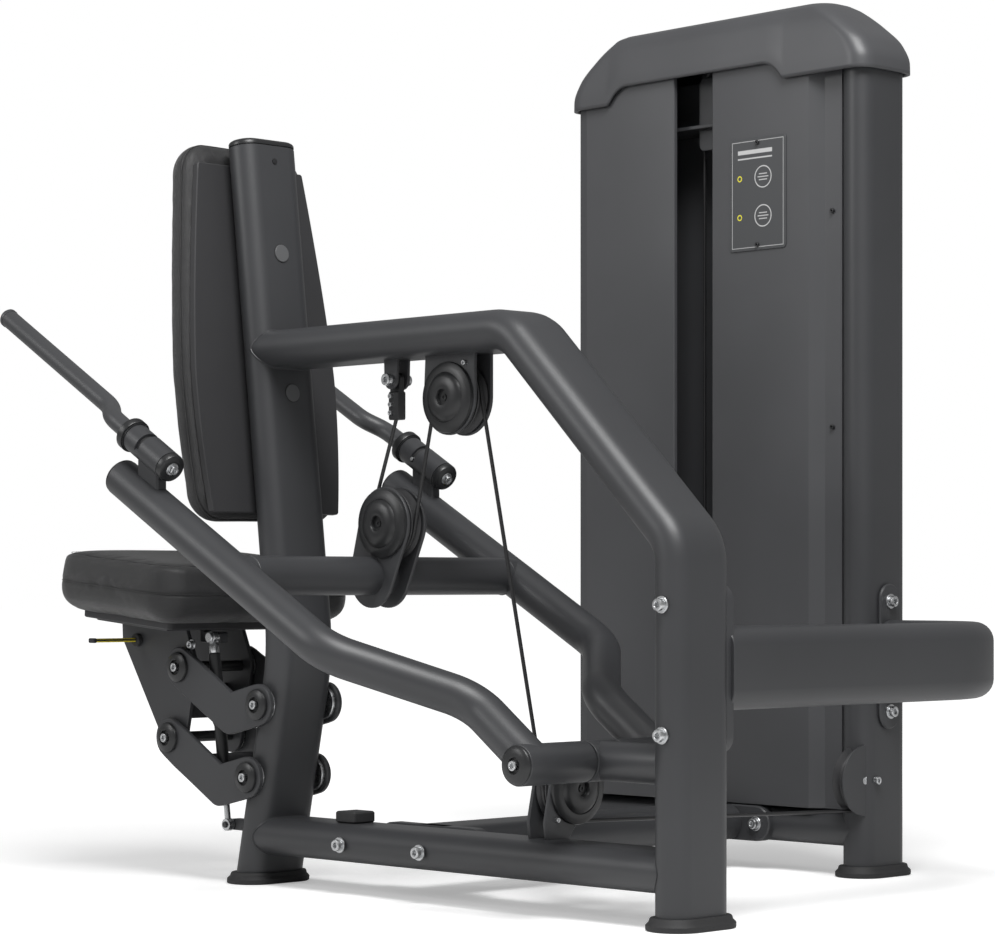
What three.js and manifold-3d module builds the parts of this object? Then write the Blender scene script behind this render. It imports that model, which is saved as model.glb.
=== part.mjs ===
// Triceps extension machine: bent spine frame, press arm with swivelling grips,
// parallelogram seat, cable and pulleys, and a shrouded weight tower.
// Millimetres, +Z up. The user sits facing -Y; the tower stands on the -X side.
// The origin is on the floor under the middle of the front column.
import * as THREE from 'three';
import { mergeVertices } from 'three/addons/utils/BufferGeometryUtils.js';
import Module from 'manifold-3d';

// ---------- sizes ----------
const CLEAR = 0.3;              // gap kept wherever one piece turns, slides or is let into another
const TUBE_W = 120;             // flat-oval frame tube, long side
const TUBE_T = 60;              // flat-oval frame tube, short side
const TUBE_WALL = 4;
const OVAL_STEPS = 6;           // facets on each round side of a flat-oval tube
const FLATNESS = 0.02;          // how far a face may move when flat faces are merged
const BORE_STEPS = 2;           // facets on each round side of a tube's inside
const HOLE_STEPS = 8;           // facets round a bolt or a hole for one
const ROUND_STEPS = 12;         // facets round a shaft, pin or wheel
const ARM_STEPS = 16;           // facets round a large round tube
const BEND_STEPS = 4;           // stations on each tube bend

const FOOT_H = 18;              // rubber foot, floor to top
const FOOT_RIM = 14;            // how far the foot stands out round its tube
const FOOT_TAPER = 5;           // how far its top edge is drawn in
const FOOT_SEAT = 4;            // depth that the tube is let into the foot
const FOOT_PLAY = 2;            // looseness of that seat, over both sides

const COLUMN_BASE = [0, 0];     // y, z of the column's centre line at the floor
const COLUMN_KNEE = [81, 374];
const COLUMN_TOP = [-17, 1192];
const COLUMN_BEND_R = 350;
const COLUMN_CAP_H = 14;

const TOP_TUBE_Z = 861;
const SHOULDER_Y = 594;         // where the top tube turns down into the diagonal
const SHOULDER_BEND_R = 75;
const POST_Y = 925;
const POST_KNEE_Z = 540;
const POST_BEND_R = 70;
const BASE_TUBE_Z = 78;

const PIVOT_Y = 745;            // press arm's axle
const PIVOT_Z = 228;
const HUB_R = 30;
const HUB_INNER_X = 33;         // inner end of each turning hub
const HUB_OUTER_X = 165;
const AXLE_R = 12.5;
const AXLE_CAP_R = 27;
const AXLE_CAP_H = 9;

const ARM_R = 30;               // round tube of the press arm
const ARM_WALL = 4;
const ARM_X = 288;              // wide part of the arm, either side of the middle
const ARM_ROOT_X = 133;         // narrow part at the hub
const ARM_TOP = [-12, 652];     // y, z
const ARM_BEND_1 = [476, 385];
const ARM_BEND_2 = [623, 314];
const ARM_BEND_R = 90;
const ARM_PLUG_H = 5;
const VENT_R = 5;
const CROSSBAR_Y = 273;
const CROSSBAR_R = 30;

const PULLEY_R = 55;
const PULLEY_W = 20;
const GROOVE_R = 50;            // radius of the cable's centre line on a pulley
const PULLEY_AXLE_R = 6;
const AXLE_HEAD_R = 9;
const AXLE_HEAD_H = 5;
const COVER_R = 54;             // domed cover on the shown side of a pulley bracket
const COVER_STEP_R = 37;
const COVER_H = 16;
const COVER_RECESS_R = 12;
const COVER_RIM_SHARE = 0.45;
const GROOVE_PLAY = 1.5;        // groove floor to the cable
const CABLE_R = 3;
const CABLE_JOINT = 0.6;        // gap between two runs of the cable
const CABLE_STEPS = 6;          // facets round the cable
const WRAP_STEPS = 7;          // stations on each half turn of cable
const CHEEK_GAP = 14;           // middle of a pulley to the inner face of its cheek
const CHEEK_T = 6;
const CHEEK_ROOT = 8;           // how far a cheek is let into the tube that it is welded to

const UPPER_PULLEY = [450, 766];  // y, z
const UPPER_CHEEK_BACK = 34;    // cheek past the pulley's centre, to the rear
const UPPER_CHEEK_FRONT = 52;
const UPPER_CHEEK_LOW = 66;
const ARM_PULLEY = [302, 577];
const ARM_LOBE_R = 44;
const ARM_CHEEK_R = 30;
const LOWER_PULLEY_Y = 632;
const LOWER_PULLEY_Z = 181;
const LOWER_CHEEK_X = [30, -78];
const LOWER_CHEEK_TOP = 52;     // above the pulley's centre

const ANCHOR_Y = 312;
const ANCHOR_Z = 800;
const ANCHOR_LUG_GAP = 11;
const ANCHOR_LUG_T = 6;
const ANCHOR_LUG_R = 17;
const ANCHOR_BLOCK = [18, 26, 48];  // x, y, z
const ANCHOR_DROP = 38;         // bolt down to the middle of the clamp block
const ANCHOR_SWAY = 2.2;        // room for the cable to lean in its clamp
const SET_SCREW_R = 3.5;
const SET_SCREW_STEP = 13;
const SET_SCREW_H = 2;

const SEAT_PIN_R = 9;
const SEAT_PIN_CAP_R = 25;
const SEAT_PIN_CAP_H = 11;
const LINK_X = 67;              // inner face of each link plate
const LINK_T = 9;
const LINK_END_R = 33;
const LINK_LOW = 37;            // how far the link's elbow sags below its pivots
const LINK_ELBOW_SHARE = 0.36;  // column pivot to elbow
const COLUMN_PIVOT_TOP = [64, 291];
const COLUMN_PIVOT_LOW = [37, 174];
const LINK_SPAN = [-203, 56];   // column pivot to carriage pivot
const LINK_BRIDGE_R = 10;
const UPPER_BRIDGE_SHARE = 0.45;  // how far along its link each cross tube stands
const LOWER_BRIDGE_SHARE = 0.72;
const BRIDGE_SAG = 20;

const CARRIAGE_X = 55;          // inner face of each carriage plate
const CARRIAGE_T = 8;
const SEAT_TILT = THREE.MathUtils.degToRad(5);
const SEAT_Y = -160;            // middle of the seat
const SEAT_TOP_Z = 525;
const SEAT_L = 318;
const SEAT_W = 414;
const SEAT_PAD_H = 92;
const SEAT_BOARD_H = 14;
const SEAT_CORNER_R = 50;
const SEAT_CROWN = 12;
const LEVER_DROP = 30;          // mounting plate down to the release lever
const PAD_EDGE = 16;            // soft edge radius of the cushions
const MOUNT_PLATE_W = 230;
const MOUNT_PLATE_L = 200;
const MOUNT_PLATE_T = 8;

const SPRING_X = 45;
const SPRING_LOW = [-47, 92];
const SPRING_HIGH = [-86, 396];
const SPRING_TUBE_R = 10;
const SPRING_ROD_R = 5;
const SPRING_TUBE_L = 190;
const SPRING_EYE_R = 10;
const SPRING_EYE_W = 12;
const STUD_R = 5;
const SPRING_PLAY = 1.3;        // looseness of the upper eye on its stud

const LEVER_Y = -262;
const LEVER_L = 96;
const LEVER_T = 5;
const LEVER_W = 22;

const BACK_TOP_Z = 1186;
const BACK_LOW_Z = 584;
const BACK_TOP_HALF = 128;
const BACK_WIDE_HALF = 165;
const BACK_WIDE_SHARE = 0.38;   // height share at which the pad is widest
const BACK_LOW_HALF = 150;
const BACK_PAD_T = 52;
const BACK_BOARD_T = 12;
const BACK_CROWN = 9;
const BACK_BOLT_ZS = [1015, 788];
const BACK_BOLT_R = 6;
const BACK_BOLT_CAP_R = 14;
const BACK_BOLT_CAP_H = 6;

const BARREL_TILT = THREE.MathUtils.degToRad(29.5);
const BARREL_REAR = [107, 665];  // y, z of the barrel's rear end
const BARREL_L = 92;
const BARREL_R = 23;
const HANDLE_SHAFT_R = 16;      // the turning shaft inside the barrel
const COLLAR_R = 27;
const COLLAR_L = 16;
const BARREL_CAP_R = 23;
const BARREL_CAP_L = 13;
const GRIP_R = 15;
const GRIP_NECK_L = 50;         // straight neck in front of the collar
const GRIP_SHIFT = 22;          // sideways step of the grip
const GRIP_SHIFT_L = 32;
const GRIP_L = 333;
const GRIP_BEND_R = 24;
const STOP_SLOT_W = 8;
const STOP_SCREW_R = 3.2;
const SADDLE_L = 58;
const SADDLE_W = 30;

const CROSSMEMBER_Y = 337;
const FLANGE_BOLT_HALF = 91;    // flange middle to each bolt
const FLANGE_HALF = 120;
const FLANGE_T = 10;
const FLANGE_WRAP = 14;         // how far a flange reaches round the tube's side
const BOLT_R = 6;
const BOLT_HEAD_R = 9;
const BOLT_HEAD_H = 9;
const WASHER_R = 12;
const WASHER_T = 2.5;

const GUARD_Z = 364;
const GUARD_BEND_R = 188;

const TOWER_X = -784;
const TOWER_FRONT_Y = 20;
const TOWER_REAR_Y = 624;
const TOWER_COLUMN_TOP = 1340;
const HEAD_PLATE_DROP = 65;     // column top down to the head plate
const HEAD_PLATE_Z = TOWER_COLUMN_TOP - HEAD_PLATE_DROP;
const HEAD_PLATE_T = 6;
const HEAD_PLATE_HALF_W = 36;
const TOWER_PULLEY_Z = 160;
const HEAD_PULLEY_RISE = 2;     // column top up to the head pulleys' middle
const HEAD_PULLEY_Z = TOWER_COLUMN_TOP + HEAD_PULLEY_RISE;
const STACK_Y = 250;
const HEAD_CHEEK_TOP = 22;
const CAP_X_HALF = 72;
const CAP_Y = [-19, 663];
const CAP_LAP = 8;              // how far the cap reaches down over the columns
const CAP_H = 122;
const CAP_LOW_Z = TOWER_COLUMN_TOP - CAP_LAP;
const CAP_TOP_Z = CAP_LOW_Z + CAP_H;
// rows of the cap's form: height share, inset of its ends, inset of its sides
const CAP_ROW_SHARES = [[0, 0, 0], [0.14, 0.5, 0], [0.4, 14, 2], [0.68, 50, 5], [0.93, 90, 14], [1, 104, 26]];
const CAP_CORNER_R = 34;
const CAP_CORNER_STEPS = 3;
const CAP_WALL = 7.8;
const CAP_ARCH_Y = [96, 464];
const CAP_ARCH_H = 30;

const SHROUD_X_HALF = TUBE_W / 2 + CLEAR;  // tower middle to the inner face of a panel
const SHROUD_T = 3;
const SHROUD_TUCK = 10;         // how far the panels reach up past the columns, inside the cap
const SHROUD_Z = [110, TOWER_COLUMN_TOP + SHROUD_TUCK];
const SHROUD_FRONT_Y = 14;
const SHROUD_REAR_Y = 588;
const SHROUD_LIP = 26;
const SLOT_Y = [235, 322];
const SLOT_LIP = 8;
const PLACARD_Y = [366, 490];
const PLACARD_DROP = 100;       // column top down to the placard's upper edge
const PLACARD_H = 191;
const PLACARD_Z = [TOWER_COLUMN_TOP - PLACARD_DROP - PLACARD_H, TOWER_COLUMN_TOP - PLACARD_DROP];
const PLACARD_T = 2;

const ROD_R = 10;
const ROD_HALF = 100;           // stack middle to each guide rod
const PLATE = [100, 300, 40];   // x, y, z of one weight plate
const PLATE_GAP = 2;
const PLATES = 4;               // loose plates under the head
const PINNED_PLATES = 1;        // of these, the plates that the pin hangs on the head
const STACK_BUFFER_H = 22;
const STACK_BUFFER_R = 17;
const STEM_R = 12;
const PIN_R = 4.5;
const PIN_KNOB_R = 11;
const PIN_KNOB_L = 24;
const HEAD_SOCKET_H = 26;

const BUMPER = [46, 46, 18];
const BUMPER_Y = 214;

// ---------- colours ----------
const COLOURS = {
  frame: 0x34363a, dark: 0x202124, rubber: 0x141414, pad: 0x17181a, steel: 0xb9bcc0,
  plastic: 0x2a2b2d, yellow: 0xe0b020, shroud: 0x2b2c2f, cable: 0x151515, plate: 0x2f3033,
};

const group = new THREE.Group();
group.name = 'triceps_extension_machine';

const wasm = await Module();
wasm.setup();

// ---------- solids ----------
function solid(geometry) {
  const bare = new THREE.BufferGeometry();
  bare.setAttribute('position', geometry.getAttribute('position'));
  if (geometry.index) bare.setIndex(geometry.index);
  const merged = mergeVertices(bare, 1e-4);
  return new wasm.Manifold(new wasm.Mesh({
    numProp: 3,
    vertProperties: new Float32Array(merged.getAttribute('position').array),
    triVerts: new Uint32Array(merged.index.array),
  }));
}

function add(name, body, colour) {
  const mesh = body.simplify(FLATNESS).getMesh();
  const geometry = new THREE.BufferGeometry();
  geometry.setAttribute('position', new THREE.BufferAttribute(mesh.vertProperties, 3));
  geometry.setIndex(new THREE.BufferAttribute(mesh.triVerts, 1));
  geometry.computeVertexNormals();
  const material = new THREE.MeshStandardMaterial({ color: COLOURS[colour], roughness: 0.6 });
  const node = new THREE.Mesh(geometry, material);
  node.name = name;
  group.add(node);
}

const join = (...bodies) => bodies.reduce((whole, body) => whole.add(body));

function box(x, y, z) {
  const size = [x[1] - x[0], y[1] - y[0], z[1] - z[0]];
  const geometry = new THREE.BoxGeometry(...size);
  geometry.translate((x[0] + x[1]) / 2, (y[0] + y[1]) / 2, (z[0] + z[1]) / 2);
  return solid(geometry);
}

// A body turned about an axis from `from` towards `to`. The profile holds [radius, distance] pairs
// and starts and ends on the axis.
function turned(profile, from, to, steps = ROUND_STEPS) {
  const start = new THREE.Vector3(...from);
  const axis = new THREE.Vector3(...to).sub(start).normalize();
  const points = profile.map(([r, d]) => new THREE.Vector2(r, d));
  const geometry = new THREE.LatheGeometry(points, steps);
  geometry.applyQuaternion(new THREE.Quaternion().setFromUnitVectors(new THREE.Vector3(0, 1, 0), axis));
  geometry.translate(start.x, start.y, start.z);
  return solid(geometry);
}

function rod(radius, from, to, steps = ROUND_STEPS) {
  const length = new THREE.Vector3(...from).distanceTo(new THREE.Vector3(...to));
  return turned([[0, 0], [radius, 0], [radius, length], [0, length]], from, to, steps);
}

// Hole for a shaft of the given radius: its facets clear the shaft by at least CLEAR.
function hole(radius, from, to, steps = HOLE_STEPS) {
  return rod((radius + CLEAR) / Math.cos(Math.PI / steps), from, to, steps);
}

// ---------- sections and paths ----------
function oval(width, thick, steps = OVAL_STEPS) {
  const points = [];
  const r = thick / 2;
  const c = (width - thick) / 2;
  for (let side = 0; side < 2; side++) {
    for (let i = 0; i <= steps; i++) {
      const a = -Math.PI / 2 + Math.PI * (side + i / steps);
      points.push(new THREE.Vector2((side ? -c : c) + r * Math.cos(a), r * Math.sin(a)));
    }
  }
  return new THREE.Shape(points);
}

function disc(radius, steps) {
  const points = [];
  for (let i = 0; i < steps; i++) {
    const a = 2 * Math.PI * i / steps;
    points.push(new THREE.Vector2(radius * Math.cos(a), radius * Math.sin(a)));
  }
  return new THREE.Shape(points);
}

// A path of straights and tight bends. It keeps one side of the section square to the plane
// of the bends where a normal is given, and carries the section along without twist where not.
class BentPath extends THREE.Curve {
  constructor(stations, normal) {
    super();
    this.stations = stations;
    this.normal = normal;
  }

  getPoint(t, target = new THREE.Vector3()) {
    const at = t * (this.stations.length - 1);
    const i = Math.min(Math.floor(at), this.stations.length - 2);
    return target.lerpVectors(this.stations[i], this.stations[i + 1], at - i);
  }

  getSpacedPoints() {
    return this.stations;
  }

  computeFrenetFrames() {
    const tangents = this.stations.map((p, i) => {
      const last = this.stations.length - 1;
      const back = i ? p.clone().sub(this.stations[i - 1]).normalize() : new THREE.Vector3();
      const ahead = i < last ? this.stations[i + 1].clone().sub(p).normalize() : new THREE.Vector3();
      return back.add(ahead).normalize();
    });
    const normals = [];
    const binormals = [];
    let normal = this.normal ? this.normal.clone() : new THREE.Vector3(1, 0, 0);
    if (Math.abs(normal.dot(tangents[0])) > 0.9) normal = new THREE.Vector3(0, 0, 1);
    for (const tangent of tangents) {
      normal = normal.clone().addScaledVector(tangent, -normal.dot(tangent)).normalize();
      normals.push(normal);
      binormals.push(tangent.clone().cross(normal));
    }
    return { tangents, normals, binormals };
  }
}

// Stations along corner points, with each inner corner rounded to the given radius.
function stations(corners, radius, steps = BEND_STEPS) {
  const points = corners.map((c) => new THREE.Vector3(...c));
  const out = [points[0]];
  for (let i = 1; i < points.length - 1; i++) {
    const back = points[i - 1].clone().sub(points[i]).normalize();
    const ahead = points[i + 1].clone().sub(points[i]).normalize();
    const half = back.angleTo(ahead) / 2;
    const middle = back.clone().add(ahead).normalize();
    const r = Array.isArray(radius) ? radius[i - 1] : radius;
    const centre = points[i].clone().addScaledVector(middle, r / Math.sin(half));
    const sweep = Math.PI / 2 - half;
    const side = ahead.clone().sub(back).normalize();
    for (let k = 0; k <= steps; k++) {
      const a = sweep * (2 * k / steps - 1);
      const p = centre.clone().addScaledVector(middle, -r * Math.cos(a));
      out.push(p.addScaledVector(side, r * Math.sin(a)));
    }
  }
  out.push(points[points.length - 1]);
  return out;
}

function swept(shape, path, normal) {
  const curve = new BentPath(path, normal);
  return solid(new THREE.ExtrudeGeometry(shape, {
    steps: path.length - 1, extrudePath: curve, curveSegments: 1,
  }));
}

function prism(points, axis, from, to) {
  const shape = new THREE.Shape(points.map(([u, v]) => new THREE.Vector2(u, v)));
  const geometry = new THREE.ExtrudeGeometry(shape, { depth: to - from, bevelEnabled: false });
  geometry.translate(0, 0, from);
  const basis = new THREE.Matrix4();
  if (axis === 'x') basis.set(0, 0, 1, 0, 1, 0, 0, 0, 0, 1, 0, 0, 0, 0, 0, 1);
  if (axis === 'y') basis.set(0, 1, 0, 0, 0, 0, 1, 0, 1, 0, 0, 0, 0, 0, 0, 1);
  geometry.applyMatrix4(basis);
  return solid(geometry);
}

// Outline of the smallest shape round a set of circles, as [u, v] points.
function hullOutline(circles, steps = ROUND_STEPS) {
  const points = circles.flatMap(([u, v, r]) => Array.from({ length: steps }, (_, i) => {
    const a = 2 * Math.PI * i / steps;
    return [u + r * Math.cos(a), v + r * Math.sin(a)];
  }));
  points.sort((p, q) => p[0] - q[0] || p[1] - q[1]);
  const turn = (o, p, q) => (p[0] - o[0]) * (q[1] - o[1]) - (p[1] - o[1]) * (q[0] - o[0]);
  const chain = (list) => list.reduce((kept, p) => {
    while (kept.length > 1 && turn(kept[kept.length - 2], kept[kept.length - 1], p) <= 1e-6) kept.pop();
    kept.push(p);
    return kept;
  }, []);
  const low = chain(points);
  const high = chain(points.slice().reverse());
  return low.slice(0, -1).concat(high.slice(0, -1));
}

const spine = (list) => list.map(([y, z]) => [0, y, z]);
const ACROSS = new THREE.Vector3(1, 0, 0);
const UPRIGHT = new THREE.Vector3(0, 0, 1);
const ALONG = new THREE.Vector3(0, 1, 0);
const mirrored = (body, side) => (side > 0 ? body : body.mirror([1, 0, 0]));

// y of the column's centre line at height z
function columnY(z) {
  const [low, high] = z < COLUMN_KNEE[1] ? [COLUMN_BASE, COLUMN_KNEE] : [COLUMN_KNEE, COLUMN_TOP];
  return low[0] + (high[0] - low[0]) * (z - low[1]) / (high[1] - low[1]);
}
const COLUMN_LEAN = Math.atan2(COLUMN_KNEE[0] - COLUMN_TOP[0], COLUMN_TOP[1] - COLUMN_KNEE[1]);

// ---------- fasteners ----------
// Socket bolt with washer. `seat` is the point under the washer, `to` the end of the shank.
function bolt(seat, to, radius = BOLT_R) {
  const a = new THREE.Vector3(...seat);
  const out = a.clone().sub(new THREE.Vector3(...to)).normalize();
  const h = BOLT_HEAD_H;
  const full = h + WASHER_T;
  const top = a.clone().addScaledVector(out, full).toArray();
  const length = full + a.distanceTo(new THREE.Vector3(...to));
  return turned([
    [0, 0], [BOLT_HEAD_R, 0], [BOLT_HEAD_R, h], [WASHER_R, h], [WASHER_R, full], [radius, full],
    [radius, length], [0, length],
  ], top, to, HOLE_STEPS);
}

// ---------- pulleys ----------
function pulley(name, centre, axis) {
  const w = PULLEY_W / 2;
  const bore = PULLEY_AXLE_R + CLEAR;
  const groove = GROOVE_R - CABLE_R - GROOVE_PLAY;
  const end = new THREE.Vector3(...centre).add(new THREE.Vector3(...axis));
  const profile = [
    [bore, -w], [PULLEY_R, -w], [groove, -CABLE_R], [groove, CABLE_R], [PULLEY_R, w], [bore, w], [bore, -w],
  ];
  add(name, turned(profile, centre, end.toArray(), ARM_STEPS), 'plastic');
}

// Axle bolt of a pulley, from its head to its tip.
function pulleyAxle(name, head, to) {
  const length = new THREE.Vector3(...head).distanceTo(new THREE.Vector3(...to));
  add(name, turned([
    [0, 0], [AXLE_HEAD_R - 1.5, 0], [AXLE_HEAD_R, 1.5], [AXLE_HEAD_R, AXLE_HEAD_H],
    [PULLEY_AXLE_R, AXLE_HEAD_H], [PULLEY_AXLE_R, length], [0, length],
  ], head, to), 'steel');
}

// Axle whose head is a domed cover that rests on the shown face of a bracket.
function coveredAxle(name, face, to) {
  const a = new THREE.Vector3(...face);
  const tip = new THREE.Vector3(...to);
  const top = a.clone().add(a.clone().sub(tip).normalize().multiplyScalar(COVER_H)).toArray();
  const length = a.distanceTo(tip);
  const step = COVER_H * COVER_RIM_SHARE;
  const profile = [
    [0, COVER_H / 2], [COVER_RECESS_R - 2, COVER_H / 2], [COVER_RECESS_R, 0], [COVER_RECESS_R + 6, 0],
    [COVER_STEP_R - 1, step / 3], [COVER_STEP_R, step], [COVER_R - 3, COVER_H - 4], [COVER_R, COVER_H - 2],
    [COVER_R, COVER_H], [PULLEY_AXLE_R, COVER_H], [PULLEY_AXLE_R, COVER_H + length], [0, COVER_H + length],
  ];
  add(name, turned(profile, top, to, ARM_STEPS), 'plastic');
}
const axleHole = (from, to) => hole(PULLEY_AXLE_R, from, to);

// ---------- spine frame ----------
const section = oval(TUBE_W, TUBE_T);
const bore = oval(TUBE_W - 2 * TUBE_WALL, TUBE_T - 2 * TUBE_WALL, BORE_STEPS);
const tubeFoot = FOOT_H - FOOT_SEAT;
const run = TUBE_W;  // length by which a path runs on where it is trimmed or joined
const floorCut = box([-5 * run, run], [-run, POST_Y + run], [-2 * run, tubeFoot]).add(
  box([TOWER_X - run, TOWER_X + run], [-run, POST_Y + run], [-2 * run, tubeFoot]));

const columnPath = stations(spine([
  [COLUMN_BASE[0] - run * (COLUMN_KNEE[0] - COLUMN_BASE[0]) / COLUMN_KNEE[1], -run], COLUMN_KNEE, COLUMN_TOP,
]), COLUMN_BEND_R);
const columnOuter = swept(section, columnPath, ACROSS);
const topPath = stations(spine([
  [columnY(TOP_TUBE_Z), TOP_TUBE_Z], [SHOULDER_Y, TOP_TUBE_Z], [POST_Y, POST_KNEE_Z], [POST_Y, -run],
]), [SHOULDER_BEND_R, POST_BEND_R]);
const basePath = spine([[columnY(BASE_TUBE_Z), BASE_TUBE_Z], [POST_Y, BASE_TUBE_Z]]).map((p) => new THREE.Vector3(...p));
const postOuter = swept(section, topPath, ACROSS);
const baseOuter = swept(section, basePath, ACROSS);
const postBolts = [GUARD_Z - FLANGE_BOLT_HALF, GUARD_Z + FLANGE_BOLT_HALF];
const crossBolts = [CROSSMEMBER_Y - FLANGE_BOLT_HALF, CROSSMEMBER_Y + FLANGE_BOLT_HALF];
const half = TUBE_W / 2;
const topTubeUnder = TOP_TUBE_Z - TUBE_T / 2;
const baseTubeTop = BASE_TUBE_Z + TUBE_T / 2;
const LOWER_PULLEY_X = -GROOVE_R;
const columnFront = (z) => columnY(z) - TUBE_T / 2;

{
  const cheek = (side, outline) => {
    const inner = side * CHEEK_GAP;
    const outer = side * (CHEEK_GAP + CHEEK_T);
    return prism(outline, 'x', Math.min(inner, outer), Math.max(inner, outer));
  };
  const upperOutline = hullOutline([
    [...UPPER_PULLEY, PULLEY_R + 2],
    [UPPER_PULLEY[0] - UPPER_CHEEK_FRONT, topTubeUnder + CHEEK_ROOT - 1, 1],
    [UPPER_PULLEY[0] + UPPER_CHEEK_BACK + UPPER_CHEEK_FRONT, topTubeUnder + CHEEK_ROOT - 1, 1],
  ]);
  const lugOutline = hullOutline([
    [ANCHOR_Y, ANCHOR_Z, ANCHOR_LUG_R], [ANCHOR_Y - ANCHOR_LUG_R, topTubeUnder + CHEEK_ROOT - 1, 1],
    [ANCHOR_Y + ANCHOR_LUG_R, topTubeUnder + CHEEK_ROOT - 1, 1],
  ]);
  const lug = (side) => {
    const faces = [side * ANCHOR_LUG_GAP, side * (ANCHOR_LUG_GAP + ANCHOR_LUG_T)].sort((p, q) => p - q);
    return prism(lugOutline, 'x', ...faces);
  };
  const lowerCheek = (side) => {
    const faces = [side * CHEEK_GAP, side * (CHEEK_GAP + CHEEK_T)].sort((p, q) => p - q);
    const outline = hullOutline([
      [LOWER_PULLEY_Z, LOWER_PULLEY_X, LOWER_CHEEK_TOP - 20],
      [LOWER_PULLEY_Z + LOWER_CHEEK_TOP - 2, LOWER_CHEEK_X[0] - 2, 2],
      [baseTubeTop - CHEEK_ROOT + 1, LOWER_CHEEK_X[0] - 1, 1],
      [baseTubeTop - CHEEK_ROOT + 1, -TUBE_W / 4, 1],
    ]);
    return prism(outline, 'y', LOWER_PULLEY_Y + faces[0], LOWER_PULLEY_Y + faces[1]);
  };
  const barrel = rod(HUB_R, [-HUB_INNER_X + 3, PIVOT_Y, PIVOT_Z], [HUB_INNER_X - 3, PIVOT_Y, PIVOT_Z]);
  const stub = rod(HUB_R - 1, [0, PIVOT_Y, PIVOT_Z], [0, POST_Y, PIVOT_Z]);
  const stubBore = rod(HUB_R - TUBE_WALL, [0, PIVOT_Y + HUB_R, PIVOT_Z], [0, POST_Y, PIVOT_Z]);
  const springLug = box(
    [SPRING_X - 26, SPRING_X - SPRING_EYE_W / 2 - 1],
    [SPRING_LOW[0] - 9, columnY(SPRING_LOW[1])], [SPRING_LOW[1] - 9, SPRING_LOW[1] + 9]);
  const stud = rod(STUD_R, [SPRING_X - 10, ...SPRING_LOW], [SPRING_X + SPRING_EYE_W / 2 + 3, ...SPRING_LOW]);
  const outer = join(
    columnOuter, postOuter, baseOuter, barrel, stub, springLug,
    cheek(1, upperOutline), cheek(-1, upperOutline), lug(1), lug(-1), lowerCheek(1), lowerCheek(-1));
  const columnBore = swept(bore, columnPath.concat([
    new THREE.Vector3(0, COLUMN_TOP[0] - Math.sin(COLUMN_LEAN), COLUMN_TOP[1] + Math.cos(COLUMN_LEAN))]), ACROSS);
  const bores = join(columnBore, swept(bore, topPath, ACROSS), swept(bore, basePath, ACROSS), stubBore);
  const holes = join(
    hole(AXLE_R, [-run, PIVOT_Y, PIVOT_Z], [run, PIVOT_Y, PIVOT_Z]),
    axleHole([-run, ...UPPER_PULLEY], [run, ...UPPER_PULLEY]),
    axleHole([-run, ANCHOR_Y, ANCHOR_Z], [run, ANCHOR_Y, ANCHOR_Z]),
    axleHole([LOWER_PULLEY_X, LOWER_PULLEY_Y - run / 2, LOWER_PULLEY_Z], [LOWER_PULLEY_X, LOWER_PULLEY_Y + run / 2, LOWER_PULLEY_Z]),
    ...[COLUMN_PIVOT_TOP, COLUMN_PIVOT_LOW].map((p) => hole(SEAT_PIN_R, [-run, ...p], [run, ...p])),
    ...postBolts.map((z) => hole(BOLT_R, [-run, POST_Y, z], [run, POST_Y, z])),
    ...crossBolts.map((y) => hole(BOLT_R, [-run, y, BASE_TUBE_Z], [run, y, BASE_TUBE_Z])),
    ...BACK_BOLT_ZS.map((z) => hole(BACK_BOLT_R, ...backBoltLine(z))));
  add('spine_frame', outer.subtract(bores).subtract(holes).subtract(floorCut).add(stud), 'frame');
}

// Line of a backrest bolt, square to the leaning column, from behind it to inside the board.
function backBoltLine(z) {
  const ahead = TUBE_T / 2 + BACK_BOARD_T;
  const along = [Math.cos(COLUMN_LEAN), Math.sin(COLUMN_LEAN)];
  return [
    [0, columnY(z) + along[0] * TUBE_T / 2, z + along[1] * TUBE_T / 2],
    [0, columnY(z) - along[0] * ahead, z - along[1] * ahead],
  ];
}

// Rubber foot: a flared flat-oval shoe with a seat for the tube's end.
function foot(name, x, y, slope = 0) {
  const wide = FOOT_RIM * 2;
  const low = new THREE.ExtrudeGeometry(oval(TUBE_W + wide, TUBE_T + wide), { depth: FOOT_H / 2, bevelEnabled: false });
  const high = new THREE.ExtrudeGeometry(
    oval(TUBE_W + wide - 2 * FOOT_TAPER, TUBE_T + wide - 2 * FOOT_TAPER), { depth: FOOT_H, bevelEnabled: false });
  const body = solid(low).add(solid(high)).translate([x, y, 0]);
  const pocket = new THREE.ExtrudeGeometry(
    oval(TUBE_W + FOOT_PLAY, TUBE_T * Math.hypot(1, slope) + FOOT_PLAY), { depth: FOOT_H, bevelEnabled: false });
  const shift = y + slope * (tubeFoot + FOOT_SEAT / 2);
  add(name, body.subtract(solid(pocket).translate([x, shift, tubeFoot])), 'rubber');
}
foot('front_foot', ...COLUMN_BASE, (COLUMN_KNEE[0] - COLUMN_BASE[0]) / COLUMN_KNEE[1]);
foot('rear_foot', 0, POST_Y);

{
  const lean = new THREE.Vector3(0, -Math.sin(COLUMN_LEAN), Math.cos(COLUMN_LEAN));
  const top = new THREE.Vector3(0, ...COLUMN_TOP);
  const line = (from, to) => [top.clone().addScaledVector(lean, from), top.clone().addScaledVector(lean, to)];
  const lid = swept(section, line(CLEAR, COLUMN_CAP_H / 2), ACROSS);
  const crown = swept(oval(TUBE_W - 8, TUBE_T - 8), line(CLEAR, COLUMN_CAP_H), ACROSS);
  const plug = swept(oval(TUBE_W - 2 * TUBE_WALL - 1, TUBE_T - 2 * TUBE_WALL - 1, BORE_STEPS), line(-COLUMN_CAP_H, 1), ACROSS);
  add('column_cap', join(lid, crown, plug), 'plastic');
}

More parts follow.
